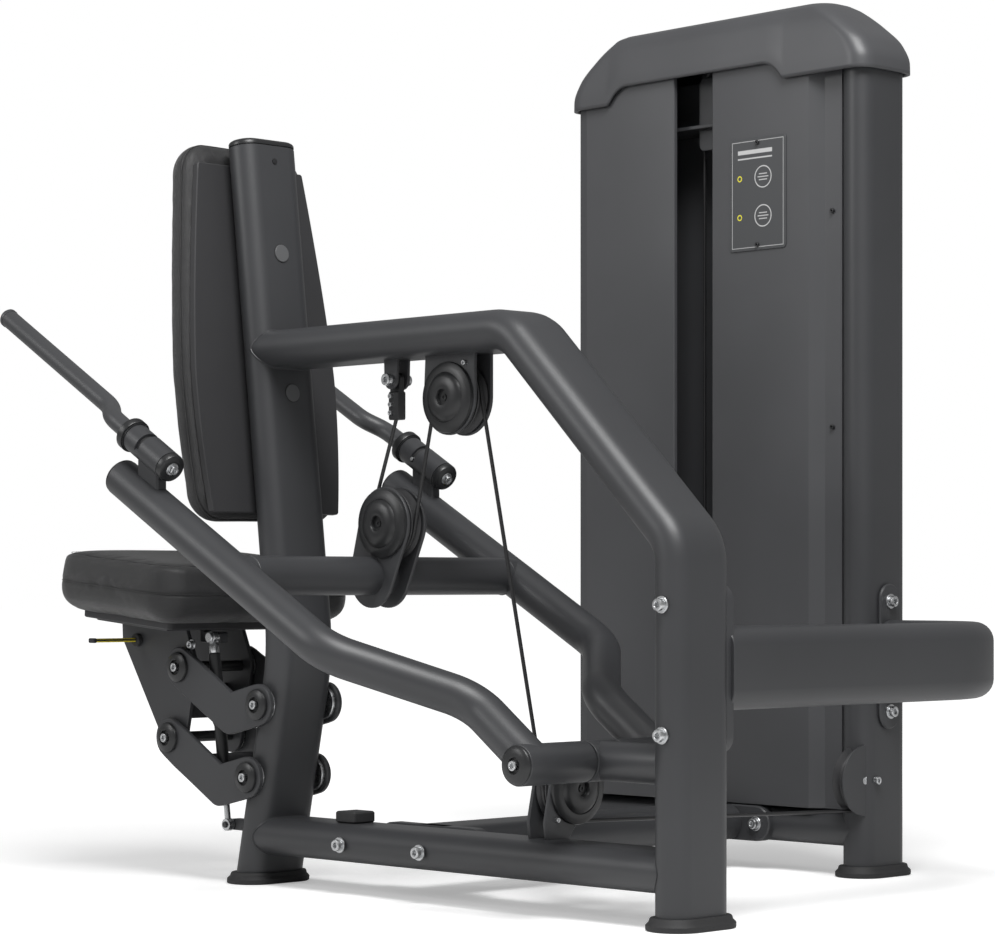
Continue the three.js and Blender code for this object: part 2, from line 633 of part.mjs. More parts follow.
{
  const r = BUMPER[0] / 2;
  const floor = baseTubeTop;
  const body = box([-r, r], [BUMPER_Y - r, BUMPER_Y + r], [floor, floor + BUMPER[2]]);
  add('arm_bumper', body, 'rubber');
}

// ---------- press arm ----------
const armSpot = (p, x) => [x, ...p];
const pivot = (x) => [x, PIVOT_Y, PIVOT_Z];
const armCorners = [armSpot(ARM_TOP, ARM_X), armSpot(ARM_BEND_1, ARM_X), armSpot(ARM_BEND_2, ARM_ROOT_X), pivot(ARM_ROOT_X)];
const armAxis = new THREE.Vector3(0, ARM_BEND_1[0] - ARM_TOP[0], ARM_BEND_1[1] - ARM_TOP[1]).normalize();
const armZ = (y) => ARM_TOP[1] + (y - ARM_TOP[0]) * (ARM_BEND_1[1] - ARM_TOP[1]) / (ARM_BEND_1[0] - ARM_TOP[0]);
const crossbarSpot = [CROSSBAR_Y, armZ(CROSSBAR_Y)];
const barrelAxis = new THREE.Vector3(0, -Math.cos(BARREL_TILT), Math.sin(BARREL_TILT));
const barrelUp = new THREE.Vector3(0, Math.sin(BARREL_TILT), Math.cos(BARREL_TILT));
const onBarrel = (d, up = 0, x = ARM_X) => [
  x, BARREL_REAR[0] + barrelAxis.y * d + barrelUp.y * up, BARREL_REAR[1] + barrelAxis.z * d + barrelUp.z * up];
const slotAt = BARREL_L * 0.62;

{
  const outerPath = stations(armCorners, ARM_BEND_R);
  const innerCorners = armCorners.map((c) => c.slice());
  const short = armAxis.clone().multiplyScalar(ARM_WALL);
  innerCorners[0] = [ARM_X, ARM_TOP[0] + short.y, ARM_TOP[1] + short.z];
  const last = new THREE.Vector3(...armCorners[2]).sub(new THREE.Vector3(...armCorners[3])).setLength(HUB_R + ARM_WALL);
  innerCorners[3] = [ARM_ROOT_X, PIVOT_Y + last.y, PIVOT_Z + last.z];
  const innerPath = stations(innerCorners, ARM_BEND_R);
  const sleeve = rod(BARREL_R, onBarrel(0), onBarrel(BARREL_L));
  const saddleMid = BARREL_L / 2;
  const armUnder = (d) => {
    const [, y] = onBarrel(d);
    return [y, armZ(y)];
  };
  const from = saddleMid - SADDLE_L / 2;
  const to = saddleMid + SADDLE_L / 2;
  const saddle = prism([
    onBarrel(from).slice(1), armUnder(from), armUnder(to), onBarrel(to).slice(1),
  ].reverse(), 'x', ARM_X - SADDLE_W / 2, ARM_X + SADDLE_W / 2);
  const side = join(
    swept(disc(ARM_R, ARM_STEPS), outerPath), sleeve, saddle,
    rod(HUB_R, pivot(HUB_INNER_X), pivot(HUB_OUTER_X), ARM_STEPS));
  const insides = swept(disc(ARM_R - ARM_WALL, ROUND_STEPS / 2), innerPath);
  const vent = rod(VENT_R, [ARM_X - run / 2, ...ARM_BEND_1], [ARM_X, ...ARM_BEND_1], HOLE_STEPS);
  const barrelBore = hole(HANDLE_SHAFT_R, onBarrel(-1), onBarrel(BARREL_L + 1), ROUND_STEPS);
  const ringStart = onBarrel(slotAt - STOP_SLOT_W / 2);
  const ringEnd = onBarrel(slotAt + STOP_SLOT_W / 2);
  const slot = rod(BARREL_R + 2, ringStart, ringEnd).intersect(prism([
    onBarrel(slotAt - run, -STOP_SCREW_R - 1), onBarrel(slotAt + run, -STOP_SCREW_R - 1),
    onBarrel(slotAt + run, run), onBarrel(slotAt - run, run),
  ].map((p) => p.slice(1)).reverse(), 'x', ARM_X - run, ARM_X + run));

  const lobe = [...crossbarSpot, ARM_LOBE_R];
  const cheekOutline = hullOutline([lobe, [...ARM_PULLEY, ARM_CHEEK_R]]);
  const cheeks = [-1, 1].map((s) => {
    const faces = [s * CHEEK_GAP, s * (CHEEK_GAP + CHEEK_T)].sort((p, q) => p - q);
    return prism(cheekOutline, 'x', ...faces);
  });
  const crossbar = rod(CROSSBAR_R, [-ARM_X, ...crossbarSpot], [ARM_X, ...crossbarSpot], ARM_STEPS);
  const crossbarBore = rod(CROSSBAR_R - ARM_WALL, [-ARM_X, ...crossbarSpot], [ARM_X, ...crossbarSpot], ROUND_STEPS / 2);
  const outer = join(side, mirrored(side, -1), crossbar, ...cheeks);
  const cuts = join(insides, mirrored(insides, -1), crossbarBore);
  const open = join(vent, barrelBore, slot);
  const holes = join(
    hole(AXLE_R, pivot(-2 * run), pivot(2 * run)), axleHole([-run, ...ARM_PULLEY], [run, ...ARM_PULLEY]));
  add('press_arm', outer.subtract(cuts).subtract(open).subtract(mirrored(open, -1)).subtract(holes), 'frame');
}

{
  const end = HUB_OUTER_X + CLEAR;
  const shaft = rod(AXLE_R, pivot(-end), pivot(end));
  const lid = turned([
    [0, 0], [8, 0], [10, 2], [AXLE_CAP_R - 6, 2], [AXLE_CAP_R - 1, 5], [AXLE_CAP_R, AXLE_CAP_H], [0, AXLE_CAP_H],
  ], pivot(end + AXLE_CAP_H), pivot(0), ARM_STEPS);
  add('arm_axle', join(shaft, lid, mirrored(lid, -1)), 'plastic');
}

// Handle: a shaft that turns in the barrel, with its collar, stepped grip, stop screw and end cap.
{
  const collarEnd = BARREL_L + CLEAR + COLLAR_L;
  const step = collarEnd + GRIP_NECK_L;
  const inset = ARM_X - GRIP_SHIFT;
  const gripPath = stations([
    onBarrel(collarEnd - 1), onBarrel(step), onBarrel(step + GRIP_SHIFT_L, 0, inset),
    onBarrel(step + GRIP_SHIFT_L + GRIP_L, 0, inset),
  ], GRIP_BEND_R, 4);
  const cap = turned([
    [0, 0], [8, 0], [8, 3], [BARREL_CAP_R - 7, 3], [BARREL_CAP_R, BARREL_CAP_L - 3],
    [BARREL_CAP_R, BARREL_CAP_L], [0, BARREL_CAP_L],
  ], onBarrel(-BARREL_CAP_L - CLEAR), onBarrel(0));
  const screwOut = [ARM_X - BARREL_R - 2, ...onBarrel(slotAt).slice(1)];
  const handle = join(
    rod(HANDLE_SHAFT_R, onBarrel(-CLEAR - 1), onBarrel(BARREL_L + 1)),
    rod(COLLAR_R, onBarrel(BARREL_L + CLEAR), onBarrel(collarEnd)),
    swept(disc(GRIP_R, ROUND_STEPS), gripPath), cap,
    rod(STOP_SCREW_R, onBarrel(slotAt), screwOut, HOLE_STEPS));
  add('handle_left', handle, 'dark');
  add('handle_right', mirrored(handle, -1), 'dark');
}

// ---------- pulleys, axles and cable ----------
const cheekFace = CHEEK_GAP + CHEEK_T;
const TOWER_PULLEY_X = TOWER_X + GROOVE_R;
const REAR_HEAD_Y = LOWER_PULLEY_Y - GROOVE_R;
const FRONT_HEAD_Y = STACK_Y + GROOVE_R;
pulley('upper_pulley', [0, ...UPPER_PULLEY], [1, 0, 0]);
pulley('arm_pulley', [0, ...ARM_PULLEY], [1, 0, 0]);
pulley('lower_pulley', [LOWER_PULLEY_X, LOWER_PULLEY_Y, LOWER_PULLEY_Z], [0, 1, 0]);
pulley('tower_pulley', [TOWER_PULLEY_X, LOWER_PULLEY_Y, TOWER_PULLEY_Z], [0, 1, 0]);
pulley('head_pulley_rear', [TOWER_X, REAR_HEAD_Y, HEAD_PULLEY_Z], [1, 0, 0]);
pulley('head_pulley_front', [TOWER_X, FRONT_HEAD_Y, HEAD_PULLEY_Z], [1, 0, 0]);
const face = cheekFace + CLEAR;
coveredAxle('upper_pulley_axle', [face, ...UPPER_PULLEY], [-face - AXLE_HEAD_H, ...UPPER_PULLEY]);
coveredAxle('arm_pulley_axle', [face, ...ARM_PULLEY], [-face - AXLE_HEAD_H, ...ARM_PULLEY]);
coveredAxle('lower_pulley_axle', [LOWER_PULLEY_X, LOWER_PULLEY_Y + face, LOWER_PULLEY_Z],
  [LOWER_PULLEY_X, LOWER_PULLEY_Y - face - AXLE_HEAD_H, LOWER_PULLEY_Z]);
const columnRear = TOWER_REAR_Y + TUBE_T / 2;
pulleyAxle('tower_pulley_axle', [TOWER_PULLEY_X, columnRear + AXLE_HEAD_H + CLEAR, TOWER_PULLEY_Z],
  [TOWER_PULLEY_X, TOWER_REAR_Y - TUBE_T / 2, TOWER_PULLEY_Z]);

const rad = THREE.MathUtils.degToRad;
// Stations of an arc round `centre` from angle a to b, in the plane of unit vectors u and v.
function arc(centre, u, v, a, b, steps = WRAP_STEPS) {
  return Array.from({ length: steps + 1 }, (_, i) => {
    const t = a + (b - a) * i / steps;
    return centre.clone().addScaledVector(u, GROOVE_R * Math.cos(t)).addScaledVector(v, GROOVE_R * Math.sin(t));
  });
}
const cablePiece = (name, path) => add(name, swept(disc(CABLE_R, CABLE_STEPS), path), 'cable');
const at = (x, y, z) => new THREE.Vector3(x, y, z);

{
  const arm = at(0, ...ARM_PULLEY);
  const upper = at(0, ...UPPER_PULLEY);
  const lower = at(LOWER_PULLEY_X, LOWER_PULLEY_Y, LOWER_PULLEY_Z);
  const tower = at(TOWER_PULLEY_X, LOWER_PULLEY_Y, TOWER_PULLEY_Z);
  const clamp = at(0, ANCHOR_Y, ANCHOR_Z - ANCHOR_DROP - ANCHOR_BLOCK[2] / 2 + 2);
  const toClamp = clamp.clone().sub(arm);
  const frontAngle = Math.atan2(toClamp.z, toClamp.y) + Math.acos(GROOVE_R / toClamp.length());
  const between = upper.clone().sub(arm);
  const cross = Math.atan2(between.z, between.y) + Math.asin(2 * GROOVE_R / between.length()) - Math.PI / 2;
  const drop = at(0, LOWER_PULLEY_Y, LOWER_PULLEY_Z).sub(upper);
  const rear = Math.atan2(drop.z, drop.y) + Math.acos(GROOVE_R / drop.length());
  const wrap = arc(arm, ALONG, UPRIGHT, frontAngle, cross + 2 * Math.PI, 2 * WRAP_STEPS);
  const over = arc(upper, ALONG, UPRIGHT, cross + Math.PI, rear);
  const tilt = Math.atan2(tower.z - lower.z, lower.x - tower.x);
  const under = arc(lower, ACROSS, UPRIGHT, 0, -Math.PI / 2 - tilt);
  const up = arc(tower, ACROSS, UPRIGHT, -Math.PI / 2 - tilt, -Math.PI);
  const headRear = arc(at(TOWER_X, REAR_HEAD_Y, HEAD_PULLEY_Z), ALONG, UPRIGHT, 0, Math.PI / 2);
  const headFront = arc(at(TOWER_X, FRONT_HEAD_Y, HEAD_PULLEY_Z), ALONG, UPRIGHT, Math.PI / 2, Math.PI);
  const shortened = (a, b) => {
    const d = b.clone().sub(a).setLength(CABLE_JOINT);
    return [a.clone().add(d), b.clone().sub(d)];
  };
  cablePiece('cable_anchor_run', shortened(clamp, wrap[0]));
  cablePiece('cable_arm_wrap', wrap);
  cablePiece('cable_loop_run', shortened(wrap[wrap.length - 1], over[0]));
  cablePiece('cable_main', [...over, ...under, ...up, ...headRear, ...headFront]);
  cablePiece('cable_stack_run', shortened(headFront[headFront.length - 1], at(TOWER_X, STACK_Y, headTop())));
}

{
  const z = ANCHOR_Z - ANCHOR_DROP;
  const [w, d, h] = ANCHOR_BLOCK;
  const tongue = prism(hullOutline([[ANCHOR_Y, ANCHOR_Z, d / 2 - 1], [ANCHOR_Y, z, d / 2 - 1]]), 'x', -w / 3, w / 3);
  const block = box([-w / 2, w / 2], [ANCHOR_Y - d / 2, ANCHOR_Y + d / 2], [z - h / 2, z + h / 2 - 4]);
  const screws = [-1, 0, 1].map((i) => rod(
    SET_SCREW_R, [0, ANCHOR_Y, z + i * SET_SCREW_STEP], [w / 2 + SET_SCREW_H, ANCHOR_Y, z + i * SET_SCREW_STEP], HOLE_STEPS));
  const boltHole = axleHole([-run, ANCHOR_Y, ANCHOR_Z], [run, ANCHOR_Y, ANCHOR_Z]);
  const well = hole(CABLE_R + ANCHOR_SWAY, [0, ANCHOR_Y, z - h], [0, ANCHOR_Y, z - h / 2 + CABLE_R + 2]);
  add('cable_anchor', join(tongue, block, ...screws).subtract(boltHole).subtract(well), 'steel');
  const lugFace = ANCHOR_LUG_GAP + ANCHOR_LUG_T + CLEAR;
  add('anchor_bolt', rod(PULLEY_AXLE_R, [-lugFace - 6, ANCHOR_Y, ANCHOR_Z], [lugFace + 6, ANCHOR_Y, ANCHOR_Z])
    .add(rod(AXLE_HEAD_R, [lugFace, ANCHOR_Y, ANCHOR_Z], [lugFace + 6, ANCHOR_Y, ANCHOR_Z]))
    .add(rod(AXLE_HEAD_R, [-lugFace, ANCHOR_Y, ANCHOR_Z], [-lugFace - 6, ANCHOR_Y, ANCHOR_Z], 6)), 'steel');
}

// ---------- base crossmember and guard ----------
// Round-ended flange that wraps the side of an upright or lying tube.
const flangeOval = (long, wide, depth) => new THREE.ExtrudeGeometry(
  oval(long, wide), { depth, bevelEnabled: false });

{
  const reach = [-half + FLANGE_WRAP, TOWER_X + half - FLANGE_WRAP];
  const tube = swept(oval(TUBE_W, TUBE_T),
    [at(-half - 1, CROSSMEMBER_Y, BASE_TUBE_Z), at(TOWER_X + half + 1, CROSSMEMBER_Y, BASE_TUBE_Z)], ALONG);
  const inside = swept(bore,
    [at(reach[0] + run, CROSSMEMBER_Y, BASE_TUBE_Z), at(reach[1] - run, CROSSMEMBER_Y, BASE_TUBE_Z)], ALONG);
  const flange = (x, depth) => {
    const geometry = flangeOval(2 * FLANGE_HALF, TUBE_T, Math.abs(depth));
    geometry.rotateZ(Math.PI / 2);
    geometry.rotateY(Math.PI / 2);
    geometry.rotateX(0);
    return solid(geometry).translate([Math.min(x, x + depth), CROSSMEMBER_Y, BASE_TUBE_Z]);
  };
  const depth = FLANGE_WRAP + FLANGE_T;
  const body = join(tube, flange(reach[0], -depth), flange(reach[1], depth));
  const grow = (x) => swept(oval(TUBE_W + 2 * CLEAR, TUBE_T + 2 * CLEAR),
    [at(x, -run, BASE_TUBE_Z), at(x, POST_Y + run, BASE_TUBE_Z)], ACROSS);
  const near = crossBolts.map((y) => bolt(
    [half + CLEAR, y, BASE_TUBE_Z], [-half - 1, y, BASE_TUBE_Z]));
  const far = crossBolts.map((y) => bolt(
    [reach[1] + depth, y, BASE_TUBE_Z], [TOWER_X, y, BASE_TUBE_Z]));
  add('front_crossmember', join(body.subtract(inside).subtract(grow(0)).subtract(grow(TOWER_X)), ...near, ...far), 'frame');
}

{
  const end = TOWER_REAR_Y + TUBE_T / 2 + CLEAR;
  const path = stations([[-half, POST_Y, GUARD_Z], [TOWER_X, POST_Y, GUARD_Z], [TOWER_X, end + 1, GUARD_Z]], GUARD_BEND_R, BEND_STEPS + 1);
  const tube = swept(oval(TUBE_W, TUBE_T), path, UPRIGHT);
  const longer = [at(half, POST_Y, GUARD_Z), ...path.slice(1, -1), at(TOWER_X, end - run, GUARD_Z)];
  const inside = swept(bore, longer, UPRIGHT);
  const postFlange = flangeOval(2 * FLANGE_HALF, TUBE_T, FLANGE_WRAP + FLANGE_T);
  postFlange.rotateY(-Math.PI / 2);
  const towerFlange = flangeOval(2 * FLANGE_HALF, TUBE_T, FLANGE_T);
  towerFlange.rotateZ(Math.PI / 2);
  towerFlange.rotateX(-Math.PI / 2);
  towerFlange.rotateY(Math.PI / 2);
  const plates = join(
    solid(postFlange).translate([-half + FLANGE_WRAP, POST_Y, GUARD_Z]),
    solid(towerFlange.rotateY(Math.PI / 2)).translate([TOWER_X, end, GUARD_Z]));
  const grown = swept(oval(TUBE_W + 2 * CLEAR, TUBE_T + 2 * CLEAR),
    [at(0, POST_Y, -run), at(0, POST_Y, POST_KNEE_Z)], ACROSS);
  const bolts = [
    ...postBolts.map((z) => bolt([half + CLEAR, POST_Y, z], [-half - 1, POST_Y, z])),
    ...postBolts.map((z) => bolt([TOWER_X, end + FLANGE_T, z], [TOWER_X, TOWER_REAR_Y + TUBE_T / 2 - 2 * TUBE_WALL, z])),
  ];
  add('guard_tube', join(join(tube, plates).subtract(inside).subtract(grown), ...bolts), 'frame');
}

// ---------- weight tower ----------
const towerTube = (y) => swept(section, [at(TOWER_X, y, -run), at(TOWER_X, y, TOWER_COLUMN_TOP)], ACROSS);
const frontTower = towerTube(TOWER_FRONT_Y);
const rearTower = towerTube(TOWER_REAR_Y);
foot('tower_front_foot', TOWER_X, TOWER_FRONT_Y);
foot('tower_rear_foot', TOWER_X, TOWER_REAR_Y);
const frontInner = TOWER_FRONT_Y + TUBE_T / 2;
const rearInner = TOWER_REAR_Y - TUBE_T / 2;
const shroudRear = SHROUD_REAR_Y;

{
  const tubeBore = (y) => swept(bore, [at(TOWER_X, y, -2 * run), at(TOWER_X, y, TOWER_COLUMN_TOP + 1)], ACROSS);
  const lie = (shape) => swept(shape, [at(TOWER_X, TOWER_FRONT_Y, BASE_TUBE_Z), at(TOWER_X, TOWER_REAR_Y, BASE_TUBE_Z)], ACROSS);
  const plate = box([TOWER_X - HEAD_PLATE_HALF_W, TOWER_X + HEAD_PLATE_HALF_W],
    [frontInner - 1, rearInner + 1], [HEAD_PLATE_Z, HEAD_PLATE_Z + HEAD_PLATE_T]);
  const cheek = (side) => {
    const faces = [TOWER_X + side * CHEEK_GAP, TOWER_X + side * (CHEEK_GAP + CHEEK_T)].sort((p, q) => p - q);
    return box(faces, [frontInner - 1, rearInner + 1], [HEAD_PLATE_Z, HEAD_PULLEY_Z + HEAD_CHEEK_TOP]);
  };
  const axle = (y) => rod(PULLEY_AXLE_R, [TOWER_X - cheekFace, y, HEAD_PULLEY_Z], [TOWER_X + cheekFace, y, HEAD_PULLEY_Z]);
  const tab = (side, z) => box(
    [TOWER_X + side * 34 - 10, TOWER_X + side * 34 + 10], [shroudRear + CLEAR, rearInner + TUBE_WALL], [z - 15, z + 15]);
  const tabZs = [SHROUD_Z[0] + run, (SHROUD_Z[0] + SHROUD_Z[1]) / 2, SHROUD_Z[1] - run];
  const solidFrame = join(frontTower, rearTower, lie(section));
  const slotHalf = CHEEK_GAP - 1;
  const slots = join(
    box([TOWER_PULLEY_X - PULLEY_R - 6, TOWER_X + run], [LOWER_PULLEY_Y - slotHalf, LOWER_PULLEY_Y + slotHalf],
      [TOWER_PULLEY_Z - PULLEY_R - 5, TOWER_PULLEY_Z + PULLEY_R + 5]),
    box([TOWER_X - slotHalf, TOWER_X + slotHalf], [rearInner - 2, LOWER_PULLEY_Y + slotHalf],
      [HEAD_PLATE_Z + HEAD_PLATE_T, TOWER_COLUMN_TOP + 1]));
  const rods = [-1, 1].map((s) => hole(ROD_R, [TOWER_X, STACK_Y + s * ROD_HALF, BASE_TUBE_Z + 1],
    [TOWER_X, STACK_Y + s * ROD_HALF, HEAD_PULLEY_Z], HOLE_STEPS));
  const holes = join(
    axleHole([TOWER_PULLEY_X, 0, TOWER_PULLEY_Z], [TOWER_PULLEY_X, POST_Y, TOWER_PULLEY_Z]),
    box([TOWER_X - slotHalf, TOWER_X + slotHalf], [STACK_Y - 20, FRONT_HEAD_Y + PULLEY_R],
      [HEAD_PLATE_Z - 1, HEAD_PLATE_Z + HEAD_PLATE_T + 1]),
    ...rods,
    ...crossBolts.map((y) => hole(BOLT_R, [TOWER_X - half / 2, y, BASE_TUBE_Z], [TOWER_X + run, y, BASE_TUBE_Z])),
    ...postBolts.map((z) => hole(BOLT_R, [TOWER_X, TOWER_REAR_Y, z], [TOWER_X, TOWER_REAR_Y + run, z])));
  const body = solidFrame.subtract(tubeBore(TOWER_FRONT_Y)).subtract(tubeBore(TOWER_REAR_Y)).subtract(lie(bore));
  add('tower_frame', join(
    body.subtract(slots), plate, cheek(1), cheek(-1),
    ...[-1, 1].flatMap((s) => tabZs.map((z) => tab(s, z))),
  ).subtract(holes).subtract(floorCut).add(axle(REAR_HEAD_Y)).add(axle(FRONT_HEAD_Y)), 'frame');
}

{
  const rows = (inset) => CAP_ROW_SHARES.map(([share, long, wide]) => {
    const x = CAP_X_HALF - inset - wide;
    const y0 = CAP_Y[0] + inset + long;
    const y1 = CAP_Y[1] - inset - long;
    const z = CAP_LOW_Z + (CAP_TOP_Z - CAP_LOW_Z - inset) * share;
    const r = CAP_CORNER_R - inset;
    const ring = [];
    for (const [sx, sy, a] of [[1, 1, 0], [-1, 1, 90], [-1, -1, 180], [1, -1, 270]]) {
      for (let i = 0; i <= CAP_CORNER_STEPS; i++) {
        const t = rad(a + 90 * i / CAP_CORNER_STEPS);
        ring.push([TOWER_X + sx * (x - r) + r * Math.cos(t), (sy > 0 ? y1 - r : y0 + r) + r * Math.sin(t), z]);
      }
    }
    return ring;
  });
  const under = rows(CAP_WALL);
  under[0] = under[0].map(([x, y]) => [x, y, CAP_LOW_Z - 1]);
  const [a0, a1] = CAP_ARCH_Y;
  const arch = prism([
    [a0, CAP_LOW_Z - 1], [a1, CAP_LOW_Z - 1], [a1 - 24, CAP_LOW_Z + CAP_ARCH_H], [a0 + 24, CAP_LOW_Z + CAP_ARCH_H],
  ], 'x', TOWER_X - run, TOWER_X + run);
  add('tower_cap', lofted(rows(0)).subtract(lofted(under)).subtract(arch), 'plastic');
}

// Closed body through rings of equal length, listed from one end to the other.
function lofted(rings) {
  const n = rings[0].length;
  const vertices = rings.flat();
  const faces = [];
  for (let r = 0; r < rings.length - 1; r++) {
    for (let i = 0; i < n; i++) {
      const a = r * n + i;
      const b = r * n + (i + 1) % n;
      faces.push([a, b, b + n], [a, b + n, a + n]);
    }
  }
  for (const [ring, flip] of [[0, true], [rings.length - 1, false]]) {
    const middle = rings[ring].reduce((s, p) => s.map((v, k) => v + p[k] / n), [0, 0, 0]);
    const m = vertices.push(middle) - 1;
    for (let i = 0; i < n; i++) {
      const a = ring * n + i;
      const b = ring * n + (i + 1) % n;
      faces.push(flip ? [b, a, m] : [a, b, m]);
    }
  }
  const geometry = new THREE.BufferGeometry();
  geometry.setAttribute('position', new THREE.Float32BufferAttribute(vertices.flat(), 3));
  geometry.setIndex(faces.flat());
  return solid(geometry);
}

// Shroud panel: a bent sheet on one side of the tower, with a lip at each upright edge.
function shroud(name, side, y0, y1, lip0, lip1) {
  const inner = SHROUD_X_HALF;
  const outer = SHROUD_X_HALF + SHROUD_T;
  const profile = [[outer, y0], [outer, y1 - 8], [outer - 8, y1]];
  if (lip1) profile.push([outer - lip1, y1], [outer - lip1, y1 - SHROUD_T], [inner - 6, y1 - SHROUD_T], [inner, y1 - 9]);
  else profile.splice(1, 2, [outer, y1], [inner, y1]);
  if (lip0) profile.push([inner, y0 + SHROUD_T], [outer - lip0, y0 + SHROUD_T], [outer - lip0, y0]);
  else profile.push([inner, y0]);
  const body = prism(profile, 'z', SHROUD_Z[0], SHROUD_Z[1]);
  add(name, (side > 0 ? body : body.mirror([1, 0, 0])).translate([TOWER_X, 0, 0]), 'shroud');
}
shroud('shroud_near_front', 1, SHROUD_FRONT_Y, SLOT_Y[0], 0, SLOT_LIP);
shroud('shroud_near_rear', 1, SLOT_Y[1], SHROUD_REAR_Y, SLOT_LIP, SHROUD_LIP);
shroud('shroud_far', -1, SHROUD_FRONT_Y, SHROUD_REAR_Y, 0, SHROUD_LIP);

{
  const x = TOWER_X + SHROUD_X_HALF + SHROUD_T;
  add('placard', box([x, x + PLACARD_T], PLACARD_Y, PLACARD_Z), 'plate');
}

// ---------- weight stack ----------
function stackLevel(i) {
  return baseTubeTop + STACK_BUFFER_H + i * (PLATE[2] + PLATE_GAP);
}
function headTop() {
  return stackLevel(PLATES) + PLATE[2] + HEAD_SOCKET_H;
}
const stackHoles = (low, high, r = ROD_R + 1) => [-1, 1].map((s) => rod(
  r, [TOWER_X, STACK_Y + s * ROD_HALF, low], [TOWER_X, STACK_Y + s * ROD_HALF, high], HOLE_STEPS));
const plateBody = (level) => box(
  [TOWER_X - PLATE[0] / 2, TOWER_X + PLATE[0] / 2], [STACK_Y - PLATE[1] / 2, STACK_Y + PLATE[1] / 2],
  [level, level + PLATE[2]]);
const pinZ = (i) => stackLevel(i) + PLATE[2] / 2;
const pinnedIndex = PLATES - PINNED_PLATES;

{
  const level = stackLevel(PLATES);
  const top = level + PLATE[2];
  const stemLow = stackLevel(0) + PLATE[2] / 4;
  const stem = rod(STEM_R, [TOWER_X, STACK_Y, stemLow], [TOWER_X, STACK_Y, headTop()]);
  const pinHoles = Array.from({ length: PLATES }, (_, i) => hole(
    PIN_R, [TOWER_X - run, STACK_Y, pinZ(i)], [TOWER_X + run, STACK_Y, pinZ(i)]));
  const body = join(plateBody(level).subtract(join(...stackHoles(level - 1, top + 1))), stem);
  const well = hole(CABLE_R, [TOWER_X, STACK_Y, headTop() - 6], [TOWER_X, STACK_Y, headTop() + 1]);
  add('stack_head', body.subtract(join(...pinHoles)).subtract(well), 'plate');
}
for (let i = 0; i < PLATES; i++) {
  const level = stackLevel(i);
  const top = level + PLATE[2];
  const cuts = join(
    ...stackHoles(level - 1, top + 1), rod(STEM_R + 1, [TOWER_X, STACK_Y, level - 1], [TOWER_X, STACK_Y, top + 1]),
    hole(PIN_R, [TOWER_X, STACK_Y, pinZ(i)], [TOWER_X + run, STACK_Y, pinZ(i)]));
  add(`weight_plate_${PLATES - i}`, plateBody(level).subtract(cuts), 'plate');
}
{
  const z = pinZ(pinnedIndex);
  const out = TOWER_X + PLATE[0] / 2 + CLEAR;
  const pin = rod(PIN_R, [TOWER_X - STEM_R / 2, STACK_Y, z], [out + 1, STACK_Y, z], HOLE_STEPS);
  const knob = turned([[0, 0], [PIN_KNOB_R - 3, 0], [PIN_KNOB_R, 3], [PIN_KNOB_R, PIN_KNOB_L - 8],
    [PIN_KNOB_R - 4, PIN_KNOB_L], [0, PIN_KNOB_L]], [out + PIN_KNOB_L, STACK_Y, z], [out, STACK_Y, z]);
  add('selector_pin', pin.add(knob), 'yellow');
}
for (const [name, s] of [['guide_rod_front', -1], ['guide_rod_rear', 1]]) {
  const y = STACK_Y + s * ROD_HALF;
  const top = HEAD_PLATE_Z + HEAD_PLATE_T + 8;
  add(name, rod(ROD_R, [TOWER_X, y, BASE_TUBE_Z + 4 + half / 2 - TUBE_WALL], [TOWER_X, y, top]).add(
    rod(STACK_BUFFER_R, [TOWER_X, y, baseTubeTop + CLEAR], [TOWER_X, y, baseTubeTop + STACK_BUFFER_H - CLEAR])), 'steel');
}

// ---------- cushions ----------
// Soft slab: flat back at w = 0, rounded front, half-width given along its length.
// The local frame is u across, v along and w out of the front.
function cushion(length, thick, crown, halfAt, corner) {
  const rings = [];
  const rowShares = [0, 0.012, 0.035, 0.08, 0.18, 0.34, 0.5, 0.66, 0.82, 0.92, 0.965, 0.988, 1];
  for (const share of rowShares) {
    const v = share * length;
    const d = Math.min(v, length - v);
    const soft = Math.min(d, PAD_EDGE);
    const fall = PAD_EDGE - Math.sqrt(PAD_EDGE ** 2 - (PAD_EDGE - soft) ** 2);
    const turn = Math.min(d, corner);
    const h = halfAt(share) - corner + Math.sqrt(corner ** 2 - (corner - turn) ** 2);
    const t = thick - fall;
    const e = Math.min(PAD_EDGE, t - 2);
    const ring = [[-h + 2, 0], [h - 2, 0], [h, 3]];
    for (let i = 0; i <= 5; i++) {
      const a = rad(18 * i);
      ring.push([h - e + e * Math.cos(a), t - e + e * Math.sin(a)]);
    }
    const lift = crown * Math.sin(Math.PI * share);
    for (const k of [0.6, 0.2, -0.2, -0.6]) ring.push([(h - e) * k, t + lift * (1 - k * k)]);
    for (let i = 0; i <= 5; i++) {
      const a = rad(90 + 18 * i);
      ring.push([-h + e + e * Math.cos(a), t - e + e * Math.sin(a)]);
    }
    ring.push([-h, 3]);
    rings.push(ring.map(([u, w]) => [u, v, w]));
  }
  return rings;
}
function placed(rings, origin, along, out) {
  const across = new THREE.Vector3(1, 0, 0);
  const sign = across.clone().cross(along).dot(out) > 0 ? 1 : -1;
  const rows = rings.map((ring) => ring.map(([u, v, w]) => origin.clone()
    .addScaledVector(across, u).addScaledVector(along, v).addScaledVector(out, w).toArray()));
  return lofted(sign > 0 ? rows.reverse() : rows);
}

